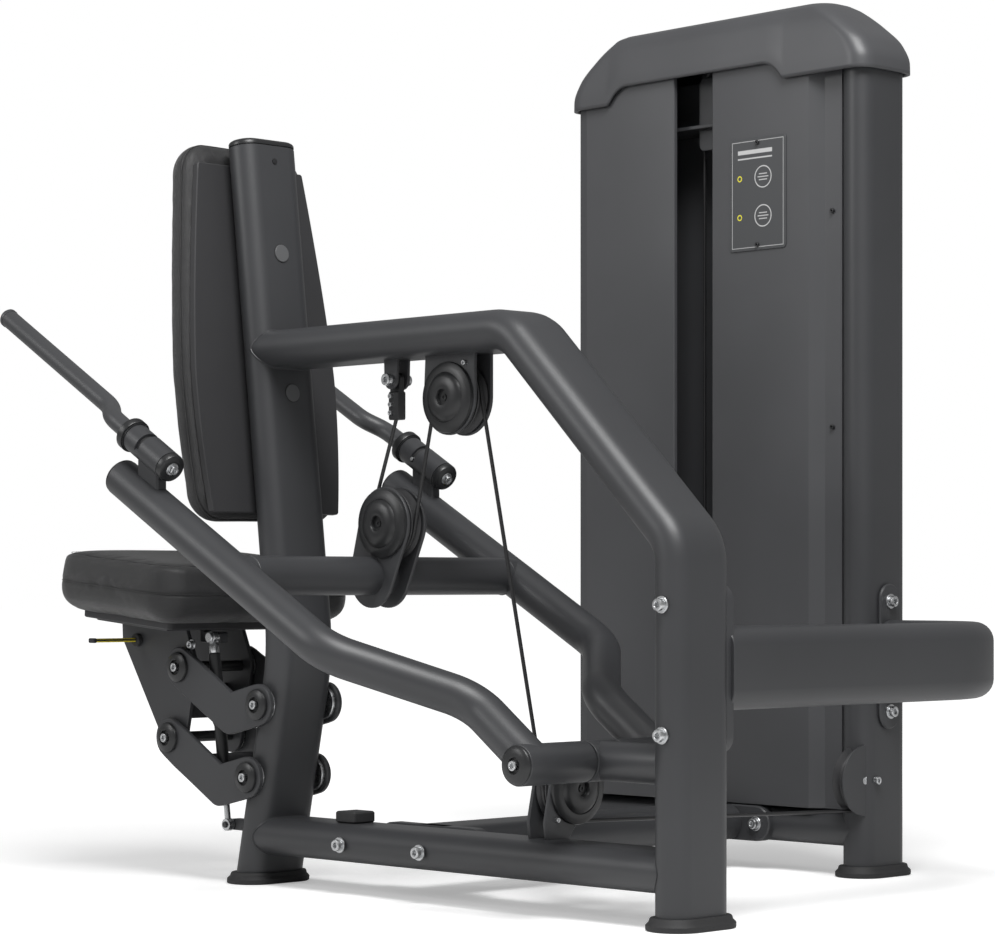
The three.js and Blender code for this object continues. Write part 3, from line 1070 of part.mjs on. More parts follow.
{
  const up = new THREE.Vector3(0, -Math.sin(COLUMN_LEAN), Math.cos(COLUMN_LEAN));
  const out = new THREE.Vector3(0, -Math.cos(COLUMN_LEAN), -Math.sin(COLUMN_LEAN));
  const length = (BACK_TOP_Z - BACK_LOW_Z) / Math.cos(COLUMN_LEAN);
  const low = at(0, columnY(BACK_LOW_Z), BACK_LOW_Z).addScaledVector(out, TUBE_T / 2 + CLEAR);
  const halfAt = (share) => (share < BACK_WIDE_SHARE
    ? BACK_WIDE_HALF - (BACK_WIDE_HALF - BACK_LOW_HALF) * ((BACK_WIDE_SHARE - share) / BACK_WIDE_SHARE) ** 2
    : BACK_WIDE_HALF - (BACK_WIDE_HALF - BACK_TOP_HALF) * ((share - BACK_WIDE_SHARE) / (1 - BACK_WIDE_SHARE)) ** 1.4);
  const face = low.clone().addScaledVector(out, BACK_BOARD_T + CLEAR);
  add('back_pad', placed(cushion(length, BACK_PAD_T, BACK_CROWN, halfAt, 46), face, up, out), 'pad');
  const inset = 10;
  const outline = [];
  const shares = Array.from({ length: 13 }, (_, i) => i / 12);
  const width = (s) => halfAt(s) - inset - 34 * Math.max(0, Math.abs(2 * s - 1) - 0.86) / 0.14;
  for (const s of shares) outline.push([width(s), s * (length - 2 * inset) + inset]);
  for (const s of shares.slice().reverse()) outline.push([-width(s), s * (length - 2 * inset) + inset]);
  const shape = new THREE.Shape(outline.map(([u, v]) => new THREE.Vector2(u, v)));
  const geometry = new THREE.ExtrudeGeometry(shape, { depth: BACK_BOARD_T, bevelEnabled: false });
  const basis = new THREE.Matrix4().makeBasis(new THREE.Vector3(1, 0, 0), up, out);
  geometry.applyMatrix4(basis);
  geometry.translate(low.x, low.y, low.z);
  const holes = BACK_BOLT_ZS.map((z) => {
    const [from, to] = backBoltLine(z);
    return hole(BACK_BOLT_R, from, to.map((v, k) => v + (to[k] - from[k])));
  });
  add('back_board', solid(geometry).subtract(join(...holes)), 'dark');
  for (const [name, z] of [['back_bolt_upper', BACK_BOLT_ZS[0]], ['back_bolt_lower', BACK_BOLT_ZS[1]]]) {
    const [from, to] = backBoltLine(z).map((p) => new THREE.Vector3(...p));
    const dir = to.clone().sub(from).normalize();
    const seat = from.clone().addScaledVector(dir, -CLEAR);
    const top = seat.clone().addScaledVector(dir, -BACK_BOLT_CAP_H);
    const reach = from.distanceTo(to) + BACK_BOLT_CAP_H - 2;
    add(name, turned([[0, 0], [BACK_BOLT_CAP_R - 3, 0], [BACK_BOLT_CAP_R, 2], [BACK_BOLT_CAP_R, BACK_BOLT_CAP_H],
      [BACK_BOLT_R, BACK_BOLT_CAP_H], [BACK_BOLT_R, reach], [0, reach]], top.toArray(), to.toArray()), 'plastic');
  }
}

// ---------- seat ----------
const carriageTop = [COLUMN_PIVOT_TOP[0] + LINK_SPAN[0], COLUMN_PIVOT_TOP[1] + LINK_SPAN[1]];
const carriageLow = [COLUMN_PIVOT_LOW[0] + LINK_SPAN[0], COLUMN_PIVOT_LOW[1] + LINK_SPAN[1]];
const seatBack = new THREE.Vector3(0, Math.cos(SEAT_TILT), -Math.sin(SEAT_TILT));
const seatUp = new THREE.Vector3(0, Math.sin(SEAT_TILT), Math.cos(SEAT_TILT));
const onSeat = (back, up) => at(0, SEAT_Y, SEAT_TOP_Z).addScaledVector(seatBack, back).addScaledVector(seatUp, up);
const padUnder = -SEAT_PAD_H;
const boardUnder = padUnder - SEAT_BOARD_H - CLEAR;
const plateUnder = boardUnder - MOUNT_PLATE_T - CLEAR;
const tilted = (back, up, xHalf) => {
  const [b0, b1] = back;
  const [u0, u1] = up;
  return prism([onSeat(b0, u0), onSeat(b1, u0), onSeat(b1, u1), onSeat(b0, u1)].map((p) => [p.y, p.z]), 'x', -xHalf, xHalf);
};

{
  const rings = cushion(SEAT_L, SEAT_PAD_H, SEAT_CROWN, () => SEAT_W / 2, SEAT_CORNER_R);
  add('seat_pad', placed(rings, onSeat(-SEAT_L / 2, padUnder), seatBack, seatUp), 'pad');
  add('seat_board', tilted([-SEAT_L / 2 + 14, SEAT_L / 2 - 14], [boardUnder + CLEAR, padUnder - CLEAR], SEAT_W / 2 - 16), 'dark');
}

{
  const plate = tilted([-MOUNT_PLATE_L / 2 - 40, MOUNT_PLATE_L / 2 - 50], [plateUnder + CLEAR, boardUnder], MOUNT_PLATE_W / 2);
  const frontTop = onSeat(-MOUNT_PLATE_L / 2 - 38, plateUnder + 3);
  const rearTop = onSeat(MOUNT_PLATE_L / 2 - 68, plateUnder + 3);
  const r = LINK_END_R - 4;
  const outline = hullOutline([
    [frontTop.y, frontTop.z, 2], [frontTop.y + 4, frontTop.z - 34, 4], [rearTop.y, rearTop.z, 2],
    [...carriageTop, r], [...carriageLow, r],
  ]);
  const sides = [-1, 1].map((s) => {
    const faces = [s * CARRIAGE_X, s * (CARRIAGE_X + CARRIAGE_T)].sort((p, q) => p - q);
    return prism(outline, 'x', ...faces);
  });
  const lug = box([SPRING_X - 24, SPRING_X - SPRING_EYE_W / 2 - 1],
    [carriageTop[0] + 10, SPRING_HIGH[0] + 9], [SPRING_HIGH[1] - 9, SPRING_HIGH[1] + 9]);
  const foot = onSeat(MOUNT_PLATE_L / 2 - 52, plateUnder + 2);
  const riser = box([SPRING_X - 24, SPRING_X - SPRING_EYE_W / 2 - 1], [carriageTop[0] + 10, foot.y], [SPRING_HIGH[1] - 9, foot.z + 4]);
  const stud = rod(STUD_R, [SPRING_X - 10, ...SPRING_HIGH], [SPRING_X + SPRING_EYE_W / 2 + 3, ...SPRING_HIGH]);
  const web = box([-CARRIAGE_X - 1, CARRIAGE_X + 1], [carriageLow[0] - 14, carriageLow[0] - 6],
    [carriageLow[1] + 24, carriageTop[1] - 24]);
  const pins = [carriageTop, carriageLow].map((p) => hole(SEAT_PIN_R, [-run, ...p], [run, ...p]));
  const leverHole = hole(STUD_R, [CARRIAGE_X - 2, LEVER_Y, leverZ()], [CARRIAGE_X + CARRIAGE_T + 2, LEVER_Y, leverZ()]);
  add('seat_carriage', join(plate, ...sides, lug, riser, web).subtract(join(...pins)).subtract(leverHole).add(stud), 'frame');
}
function leverZ() {
  return onSeat(LEVER_Y - SEAT_Y, plateUnder).z - LEVER_DROP;
}

// Boomerang link: two plates joined by a cross tube.
function link(name, from, to, share) {
  const toElbow = (k) => from[k] + (to[k] - from[k]) * LINK_ELBOW_SHARE;
  const middle = [toElbow(0), toElbow(1) - LINK_LOW];
  const arm = (a, b, ra, rb) => hullOutline([[...a, ra], [...b, rb]]);
  const plates = [-1, 1].map((s) => {
    const faces = [s * LINK_X, s * (LINK_X + LINK_T)].sort((p, q) => p - q);
    return join(
      prism(arm(from, middle, LINK_END_R, LINK_END_R), 'x', ...faces),
      prism(arm(middle, to, LINK_END_R, LINK_END_R), 'x', ...faces));
  });
  const spot = [from[0] + (to[0] - from[0]) * share, from[1] + (to[1] - from[1]) * share - BRIDGE_SAG];
  const bridge = rod(LINK_BRIDGE_R, [-LINK_X - 1, ...spot], [LINK_X + 1, ...spot]);
  const holes = [from, to].map((p) => hole(SEAT_PIN_R, [-run, ...p], [run, ...p]));
  add(name, join(...plates, bridge).subtract(join(...holes)), 'frame');
}
link('seat_link_upper', COLUMN_PIVOT_TOP, carriageTop, UPPER_BRIDGE_SHARE);
link('seat_link_lower', COLUMN_PIVOT_LOW, carriageLow, LOWER_BRIDGE_SHARE);

// Pivot pin in one turned piece: a domed cap outside each link and a spacer inside it.
function seatPin(name, spot, spacer) {
  const x = LINK_X + LINK_T + CLEAR;
  const end = x + SEAT_PIN_CAP_H;
  const capSide = [[0, end], [12, end], [SEAT_PIN_CAP_R, x + 3], [SEAT_PIN_CAP_R, x], [SEAT_PIN_R, x]];
  const r = SEAT_PIN_CAP_R + 2;
  const in0 = LINK_X - CLEAR;
  const in1 = in0 - spacer;
  const near = [...capSide, [SEAT_PIN_R, in0], [r, in0], [r, in1], [SEAT_PIN_R, in1]];
  const far = near.slice().reverse().map(([radius, d]) => [radius, -d]);
  const profile = [...near, ...far].map(([radius, d]) => [radius, end - d]);
  add(name, turned(profile, [end, ...spot], [0, ...spot]), 'plastic');
}
const spacerW = LINK_X - CLEAR - half - CLEAR;
seatPin('pin_column_upper', COLUMN_PIVOT_TOP, spacerW);
seatPin('pin_column_lower', COLUMN_PIVOT_LOW, spacerW);
const carriageSpacer = LINK_X - CARRIAGE_X - CARRIAGE_T - 2 * CLEAR;
seatPin('pin_carriage_upper', carriageTop, carriageSpacer);
seatPin('pin_carriage_lower', carriageLow, carriageSpacer);

{
  const low = at(SPRING_X, ...SPRING_LOW);
  const high = at(SPRING_X, ...SPRING_HIGH);
  const dir = high.clone().sub(low).normalize();
  const on = (d) => low.clone().addScaledVector(dir, d).toArray();
  const total = high.distanceTo(low);
  const eye = (p, play = 0) => rod(SPRING_EYE_R, [SPRING_X - SPRING_EYE_W / 2, p[1], p[2]], [SPRING_X + SPRING_EYE_W / 2, p[1], p[2]])
    .subtract(hole(STUD_R + play, [SPRING_X - run, p[1], p[2]], [SPRING_X + run, p[1], p[2]]));
  const bottomBore = SPRING_TUBE_L * 0.3;
  const tubeEnd = total - 24;
  const sleeve = rod(SPRING_TUBE_R, on(tubeEnd - SPRING_TUBE_L), on(tubeEnd))
    .subtract(hole(SPRING_ROD_R, on(tubeEnd - SPRING_TUBE_L - 1), on(tubeEnd - bottomBore)));
  const neck = rod(SPRING_ROD_R, on(tubeEnd - 1), on(total - SPRING_EYE_R + 1));
  add('spring_cylinder', join(sleeve, neck, eye(on(total), SPRING_PLAY)), 'steel');
  const shaft = rod(SPRING_ROD_R, on(SPRING_EYE_R - 1), on(tubeEnd - bottomBore - 8));
  add('spring_rod', join(shaft, eye(on(0))), 'steel');
}

{
  const z = leverZ();
  const x = CARRIAGE_X + CARRIAGE_T + CLEAR;
  const pin = rod(STUD_R, [CARRIAGE_X - 4, LEVER_Y, z], [x + 1, LEVER_Y, z], HOLE_STEPS);
  const boss = rod(LEVER_W / 2, [x, LEVER_Y, z], [x + 8, LEVER_Y, z]);
  const blade = box([x, x + LEVER_L], [LEVER_Y - LEVER_W / 2, LEVER_Y + LEVER_W / 2 - 8], [z - LEVER_T / 2, z + LEVER_T / 2]);
  add('release_lever', join(pin, boss, blade), 'yellow');
}

export default group;
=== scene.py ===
import bpy
import math
import numpy as np
from bpy.props import FloatProperty, FloatVectorProperty, IntProperty, PointerProperty
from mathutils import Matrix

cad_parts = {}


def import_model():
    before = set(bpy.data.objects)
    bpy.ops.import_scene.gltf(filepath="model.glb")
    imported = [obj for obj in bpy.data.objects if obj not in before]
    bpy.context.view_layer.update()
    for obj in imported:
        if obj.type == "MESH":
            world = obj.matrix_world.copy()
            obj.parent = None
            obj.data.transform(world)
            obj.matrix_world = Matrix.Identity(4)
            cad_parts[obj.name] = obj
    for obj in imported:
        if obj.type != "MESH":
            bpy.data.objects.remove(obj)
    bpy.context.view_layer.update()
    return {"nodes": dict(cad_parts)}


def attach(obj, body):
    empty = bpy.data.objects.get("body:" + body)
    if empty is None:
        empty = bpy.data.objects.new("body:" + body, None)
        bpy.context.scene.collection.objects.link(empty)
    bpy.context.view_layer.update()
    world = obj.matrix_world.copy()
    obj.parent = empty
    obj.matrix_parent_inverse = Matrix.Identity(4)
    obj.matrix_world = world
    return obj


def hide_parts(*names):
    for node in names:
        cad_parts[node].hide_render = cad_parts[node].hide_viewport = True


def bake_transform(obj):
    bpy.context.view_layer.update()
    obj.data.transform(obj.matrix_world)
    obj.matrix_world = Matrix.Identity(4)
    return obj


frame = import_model()

bl_info = {
    "name": "Triceps extension machine",
    "version": (1, 0, 0),
    "blender": (4, 5, 0),
    "location": "View3D > Sidebar > Gym",
    "description": "Builds a seated triceps machine with its press arm, seat, cable and weight tower",
    "category": "Object",
}

MM = 0.001
X, Y, Z = np.eye(3)

# Places of the real machine, in millimetres
TUBE = (120.0, 60.0)
KNEE = (81.0, 374.0)
COLUMN_TOP = (-17.0, 1192.0)
LEAN = math.atan2(KNEE[0] - COLUMN_TOP[0], COLUMN_TOP[1] - KNEE[1])
TOP_TUBE_Z = 861.0
SHOULDER_Y = 594.0
POST_Y, POST_KNEE_Z = 925.0, 540.0
BASE_Z = 78.0
PIVOT = (745.0, 228.0)
ARM_X, ARM_ROOT_X = 288.0, 133.0
ARM_TOP, ARM_BEND_1, ARM_BEND_2 = (-12.0, 652.0), (476.0, 385.0), (623.0, 314.0)
CROSSBAR_Y = 273.0
UPPER_PULLEY, ARM_PULLEY = (450.0, 766.0), (302.0, 577.0)
LOWER_PULLEY = (-50.0, 632.0, 181.0)
TOWER_PULLEY = (-734.0, 632.0, 160.0)
HEAD_PULLEYS = ((-784.0, 582.0, 1342.0), (-784.0, 300.0, 1342.0))
ANCHOR = (312.0, 800.0)
TOWER_X, TOWER_FRONT_Y, TOWER_REAR_Y = -784.0, 20.0, 624.0
STACK_Y = 250.0
CROSSMEMBER_Y, GUARD_Z, FLANGE_BOLT = 337.0, 364.0, 91.0
COLUMN_PIVOTS = ((64.0, 291.0), (37.0, 174.0))
CARRIAGE_PIVOTS = ((-139.0, 347.0), (-166.0, 230.0))
SPRING_LOW, SPRING_HIGH = (45.0, -47.0, 92.0), (45.0, -86.0, 396.0)
SEAT_TILT = math.radians(5)
SEAT_MIDDLE = (-160.0, 525.0)
SEAT_L, SEAT_W, SEAT_H = 318.0, 414.0, 92.0
SEAT_BOARD = 14.0
CLEAR = 0.3
FACE = TUBE[1] / 2 + CLEAR
MOUNT = 8.0
MOUNT_UNDER = -SEAT_H - SEAT_BOARD - CLEAR - MOUNT - CLEAR
BARREL_TILT = math.radians(29.5)
BARREL_REAR = (107.0, 665.0)
BACK_BOLT_ZS = (1015.0, 788.0)
FOOT_TOP = 14.0
CHEEK = (14.0, 20.0)
CHEEK_REACH = 57.0
BEND_SHARE = 0.49
GROOVE = 50.0
CLAMP_DROP = 38.0
GUARD_BEND = 188.0
PANEL_OUT, PANEL_LOW, PANEL_HIGH, SHEET = 63.3, 110.0, 1367.0, 2.6
PLACARD = (366.0, 490.0, 1049.0, 1240.0)
PLATE_LOW, PLATE_PITCH, PLATE_H, ROD_REACH = 130.0, 42.0, 40.0, 100.0
STEM_FOOT_Z = 364.0
BACK_LOW, BACK_HIGH, BACK_CORNER = 584.0, 1186.0, 46.0
LEVER = (63.3, -262.0, 389.73)
ORDER = {"x": (2, 0, 1), "y": (1, 2, 0), "z": (0, 1, 2)}


def column_y(z):
    """y of the column's centre line at height z, in millimetres."""
    low, high = ((0.0, 0.0), KNEE) if z < KNEE[1] else (KNEE, COLUMN_TOP)
    return low[0] + (high[0] - low[0]) * (z - low[1]) / (high[1] - low[1])


# surfaces
def unit(v):
    """The vector or vectors v, each at length one."""
    v = np.asarray(v, float)
    return v / np.linalg.norm(v, axis=-1, keepdims=True)


def rounded(points, radius, steps=4, closed=True):
    """A polyline with each corner turned into an arc. At a corner with bisector m and half angle h the arc has
    its centre at distance r / sin(h) along m, and r shrinks where a side is too short for it."""
    p = np.asarray(points, float)
    n = len(p)
    radius = np.broadcast_to(np.asarray(radius, float), (n,))
    out = []
    for i in range(n):
        if not closed and i in (0, n - 1):
            out.append(p[i:i + 1])
            continue
        a, b, c = p[i - 1], p[i], p[(i + 1) % n]
        back, ahead = unit(a - b), unit(c - b)
        half = math.acos(float(np.clip(back @ ahead, -1, 1))) / 2
        if half > math.pi / 2 - 1e-3 or radius[i] <= 0:
            out.append(b[None])
            continue
        share = BEND_SHARE if closed or n > 3 else 2 * BEND_SHARE
        r = min(radius[i], share * min(np.linalg.norm(a - b), np.linalg.norm(c - b)) * math.tan(half))
        middle, side = unit(back + ahead), unit(ahead - back)
        t = (math.pi / 2 - half) * np.linspace(-1, 1, steps + 1)[:, None]
        out.append(b + middle * r / math.sin(half) - middle * r * np.cos(t) + side * r * np.sin(t))
    return np.concatenate(out)


def oval(width, thick, steps=12):
    """Flat-oval outline: two half circles of diameter `thick`, `width` apart over all."""
    a = np.linspace(-math.pi / 2, math.pi / 2, steps + 1)
    c = (width - thick) / 2
    right = np.stack([c + thick / 2 * np.cos(a), thick / 2 * np.sin(a)], 1)
    return np.concatenate([right, -right])


def circle(radius, steps=40):
    """Circle of the given radius as an outline."""
    a = np.arange(steps) * 2 * math.pi / steps
    return np.stack([radius * np.cos(a), radius * np.sin(a)], 1)


def hull(circles, steps=24):
    """Smallest outline round a set of circles [u, v, r]: their points, then the convex hull by turning."""
    a = np.arange(steps) * 2 * math.pi / steps
    p = np.concatenate([np.stack([u + r * np.cos(a), v + r * np.sin(a)], 1) for u, v, r in circles])
    p = p[np.lexsort((p[:, 1], p[:, 0]))]

    def chain(rows):
        kept = []
        for q in rows:
            while len(kept) > 1 and np.cross(kept[-1] - kept[-2], q - kept[-2]) <= 1e-6:
                kept.pop()
            kept.append(q)
        return kept[:-1]
    return np.array(chain(p) + chain(p[::-1]))


def union_outline(first, second, centre):
    """Outer outline of two overlapping shapes that both hold the centre: the larger reach at each angle about it,
    evened out with a short running mean so that the inner corners are soft."""
    a = np.linspace(-math.pi, math.pi, 241)[:-1]

    def reach(outline):
        p, q = outline - centre, np.roll(outline, -1, 0) - centre
        d = np.stack([np.cos(a), np.sin(a)], 1)
        e = q - p
        det = d[:, None, 0] * e[None, :, 1] - d[:, None, 1] * e[None, :, 0]
        det = np.where(np.abs(det) < 1e-9, 1e-9, det)
        r = (p[None, :, 0] * e[None, :, 1] - p[None, :, 1] * e[None, :, 0]) / det
        t = (p[None, :, 0] * d[:, None, 1] - p[None, :, 1] * d[:, None, 0]) / det
        return np.where((r > 0) & (t > -1e-6) & (t < 1 + 1e-6), r, 0).max(1)
    r = np.maximum(reach(first), reach(second))
    soft = np.mean([np.roll(r, k) for k in range(-3, 4)], 0)
    r = np.where(soft > r, soft, r)
    return centre + np.stack([np.cos(a), np.sin(a)], 1) * r[:, None]


def inset(outline, d):
    """The outline moved inwards by d along the mean normal of its two sides."""
    back = unit(outline - np.roll(outline, 1, 0))
    ahead = unit(np.roll(outline, -1, 0) - outline)
    t = unit(back + ahead)
    inward = np.stack([-t[:, 1], t[:, 0]], 1)
    return outline + inward * d / np.clip((t * ahead).sum(1, keepdims=True), 0.5, 1)


def grid(rows, caps=(True, True), loop=False):
    """Faces of a net of closed rings (m, n, 3): quads between rings, and one face on each open end."""
    m, n = rows.shape[:2]
    r = np.arange(m if loop else m - 1)[:, None]
    i = np.arange(n)[None]
    a, b = r * n + i, r * n + (i + 1) % n
    c, d = ((r + 1) % m) * n + (i + 1) % n, ((r + 1) % m) * n + i
    faces = np.stack([a, b, c, d], -1).reshape(-1, 4).tolist()
    if caps[0] and not loop:
        faces.append(list(range(n))[::-1])
    if caps[1] and not loop:
        faces.append(list(range((m - 1) * n, m * n)))
    return rows.reshape(-1, 3), faces


def sweep(path, section, side=None, ends=1.5):
    """An outline carried along a path: point = path + u * side + v * (tangent x side). Without a side the frame is
    carried along with the least turning. Both ends are drawn in a little to break the edge."""
    path = np.asarray(path, float)
    step = unit(np.diff(path, axis=0))
    tangent = unit(np.concatenate([step[:1], step[:-1] + step[1:], step[-1:]]))
    if side is None:
        u = X if abs(tangent[0] @ X) < 0.9 else Z
        sides = []
        for t in tangent:
            u = unit(u - t * (u @ t))
            sides.append(u)
        sides = np.array(sides)
    else:
        side = np.asarray(side, float)
        sides = unit(side - tangent * (tangent @ side)[:, None])
    other = np.cross(tangent, sides)
    if ends:
        path = np.concatenate([path[:1], path[:1] + tangent[:1] * ends, path[1:-1],
                               path[-1:] - tangent[-1:] * ends, path[-1:]])
        sides, other = sides[[0, *range(len(sides)), -1]], other[[0, *range(len(other)), -1]]
    rings = np.repeat(section[None], len(path), 0)
    if ends:
        for k in (0, -1):
            rings[k] = inset(section, ends * 0.7)
    rows = path[:, None] + rings[..., :1] * sides[:, None] + rings[..., 1:] * other[:, None]
    return grid(rows)


def bead(points, radius, side, steps=8):
    """A closed bead: a circle carried round a loop of points, one of its directions held near `side`."""
    step = unit(np.roll(points, -1, 0) - points)
    tangent = unit(step + np.roll(step, 1, 0))
    side = unit(side - tangent * (tangent @ side)[:, None])
    ring = circle(radius, steps)
    rows = points[:, None] + ring[None, :, :1] * side[:, None] + ring[None, :, 1:] * np.cross(tangent, side)[:, None]
    return grid(rows, loop=True)


def bent(corners, radius, steps=10):
    """A path through corners with each bend rounded."""
    radius = np.atleast_1d(radius)
    full = np.zeros(len(corners))
    full[1:-1] = radius if len(radius) == len(corners) - 2 else radius[0]
    return rounded(corners, full, steps, closed=False)


def basis(axis):
    """Three square directions, the last along the axis."""
    w = unit(axis)
    u = unit(np.cross(Z if abs(w[2]) < 0.9 else X, w))
    return u, np.cross(w, u), w


def turned(profile, start, axis, steps=48, shape=None, soft=0.0, up=None):
    """A profile of (radius, distance) pairs turned about an axis: point = start + d * axis + r * (cos a * u + sin a *
    v). Ends on the axis close in a pole. shape(a, r, d) may change the radius over the turn, for sockets and slots."""
    p = np.asarray(profile, float)
    if soft:
        p = rounded(p, np.where(p[:, 0] > 0, soft, 0), 3, closed=False)
    u, v, w = basis(axis)
    if up is not None:
        v = unit(np.asarray(up, float) - w * (w @ up))
        u = np.cross(v, w)
    a = np.arange(steps) * 2 * math.pi / steps
    inner = p[(p[:, 0] > 1e-6)]
    r = np.repeat(inner[:, :1], steps, 1)
    if shape is not None:
        r = shape(a[None], r, np.repeat(inner[:, 1:], steps, 1))
    ring = np.cos(a)[:, None] * u + np.sin(a)[:, None] * v
    rows = np.asarray(start, float) + inner[:, 1, None, None] * w + r[..., None] * ring[None]
    verts, faces = grid(rows, (False, False), loop=bool(p[0, 0] > 1e-6 and p[-1, 0] > 1e-6))
    n, count = steps, len(verts)
    extra = []
    for row, base, flip in ((p[0], 0, True), (p[-1], (len(inner) - 1) * n, False)):
        if row[0] > 1e-6:
            continue
        extra.append(np.asarray(start, float) + row[1] * w)
        i = np.arange(n)
        ring_a, ring_b = base + i, base + (i + 1) % n
        pole = np.full(n, count + len(extra) - 1)
        faces += np.stack([ring_b, ring_a, pole] if flip else [ring_a, ring_b, pole], 1).tolist()
    if extra:
        verts = np.concatenate([verts, np.array(extra)])
    return verts, faces


def peg(radius, length, *place, **more):
    """Plain round pin from a start along an axis."""
    return turned([(0, 0), (radius, 0), (radius, length), (0, length)], *place, **more)


def rect(u0, u1, v0, v1):
    """The four corners of a rectangle."""
    return [(u0, v0), (u1, v0), (u1, v1), (u0, v1)]


def along(outline, axis, at):
    """An outline on the plane square to `axis`, as points in space."""
    return np.concatenate([outline, np.full((len(outline), 1), at)], 1)[:, ORDER[axis]]


def plate(outline, axis, low, high, edge=1.5):
    """A flat outline with broken edges between two heights on an axis: four rings, the outer two drawn in."""
    o = np.asarray(outline, float)
    area = np.sum(o[:, 0] * np.roll(o[:, 1], -1) - np.roll(o[:, 0], -1) * o[:, 1])
    o = o if area > 0 else o[::-1]
    rings = [(inset(o, edge), low), (o, low + edge), (o, high - edge), (inset(o, edge), high)]
    return grid(np.stack([along(ring, axis, h) for ring, h in rings]))


def twins(outline, near, far, edge=1.5, middle=0.0, axis="x"):
    """Two equal plates, one on each side of a middle plane, from `near` to `far` away from it."""
    return [plate(outline, axis, *sorted((middle + k * near, middle + k * far)), edge) for k in (1, -1)]


def mirrored(part):
    """A part reflected in the plane x = 0, with its faces turned back outwards."""
    verts, faces = part
    return verts * (-1, 1, 1), [f[::-1] for f in faces]


def hexagon(a):
    """Reach of a hexagon at angle a, as a share of the reach of its corners."""
    return math.cos(math.pi / 6) / np.cos((a + math.pi / 6) % (math.pi / 3) - math.pi / 6)


def socket(a, r, d):
    """Hexagonal radius for the rows inside a bolt's socket."""
    return np.where(r <= 4.6, r * hexagon(a), r)


def bolt(seat, out, scale=1.0, washer=True):
    """Socket bolt on a washer: a turned head with a hexagonal socket. `out` points away from the seat."""
    s = scale
    profile = [(0, 5.5), (4.5, 5.5), (4.6, 10.3), (5.2, 11.2), (7.6, 11.2), (8.7, 10.4), (9, 9.4), (9, 2.6)]
    profile += [(11.6, 2.5), (12.2, 1.9), (12.2, 0), (0, 0)] if washer else [(9, 0), (0, 0)]
    profile = [(r * s, d * s) for r, d in profile][::-1]
    shape = (lambda a, r, d: socket(a, r / s, d) * s)
    return turned(profile, seat, out, 36, shape)


def build(name, parts, material, body, replaces=(), angle=32, smooth=True):
    """One object from several closed surfaces in millimetres: their points are scaled to metres and joined."""
    verts, faces, base = [], [], 0
    for v, f in parts:
        verts.append(np.asarray(v, float) * MM)
        faces += [[i + base for i in face] for face in f]
        base += len(v)
    mesh = bpy.data.meshes.new(name)
    mesh.from_pydata(np.concatenate(verts), [], faces)
    mesh.validate()
    mesh.polygons.foreach_set("use_smooth", [smooth] * len(mesh.polygons))
    mesh.set_sharp_from_angle(angle=math.radians(angle))
    mesh.update()
    piece = bpy.data.objects.new(name, mesh)
    bpy.context.scene.collection.objects.link(piece)
    mesh.materials.append(material)
    if body:
        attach(piece, body)
    if replaces:
        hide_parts(*replaces)
    return piece


# materials
def feed(tree, node, inputs):
    """Gives a node its inputs, each a plain value or another node's socket."""
    for key, value in inputs.items():
        if isinstance(value, bpy.types.NodeSocket):
            tree.links.new(value, node.inputs[key])
        else:
            node.inputs[key].default_value = value
    return node


def add(tree, kind, inputs, **settings):
    """A new shader node with its settings and inputs."""
    node = tree.nodes.new("ShaderNode" + kind)
    for key, value in settings.items():
        setattr(node, key, value)
    return feed(tree, node, inputs)


def shader_group(name, inputs, outputs, fill):
    """A node group with named sockets, built once. An input given as a number is a value, four numbers are a colour
    and None is a vector. `fill` wires it."""
    tree = bpy.data.node_groups.get(name)
    if tree:
        return tree
    tree = bpy.data.node_groups.new(name, "ShaderNodeTree")
    for label, value in inputs.items():
        kind = "Vector" if value is None else "Color" if isinstance(value, tuple) else "Float"
        s = tree.interface.new_socket(label, in_out="INPUT", socket_type="NodeSocket" + kind)
        if value is not None:
            s.default_value = value
    for label, kind in outputs.items():
        tree.interface.new_socket(label, in_out="OUTPUT", socket_type="NodeSocket" + kind)
    fill(tree, tree.nodes.new("NodeGroupInput").outputs, tree.nodes.new("NodeGroupOutput"))
    return tree


def noise(tree, vector, scale, detail=2.0, rough=0.5):
    """The value of a noise texture at the given coordinates; scale is a number or a socket."""
    inputs = {"Detail": detail, "Roughness": rough, "Vector": vector, "Scale": scale}
    return add(tree, "TexNoise", inputs).outputs["Fac"]


def ramp(tree, value, low, high, to_low=0.0, to_high=1.0, **settings):
    """A value carried from the range low..high to the range to_low..to_high."""
    inputs = {"From Min": low, "From Max": high, "To Min": to_low, "To Max": to_high, "Value": value}
    return add(tree, "MapRange", inputs, **settings).outputs["Result"]


def maths(tree, operation, *values):
    """A number worked out from others."""
    return add(tree, "Math", dict(enumerate(values)), operation=operation).outputs["Value"]


def blended(tree, factor, under, over):
    """One colour turned to another by a factor."""
    return add(tree, "Mix", {"Factor": factor, "A": under, "B": over}, data_type="RGBA").outputs["Result"]


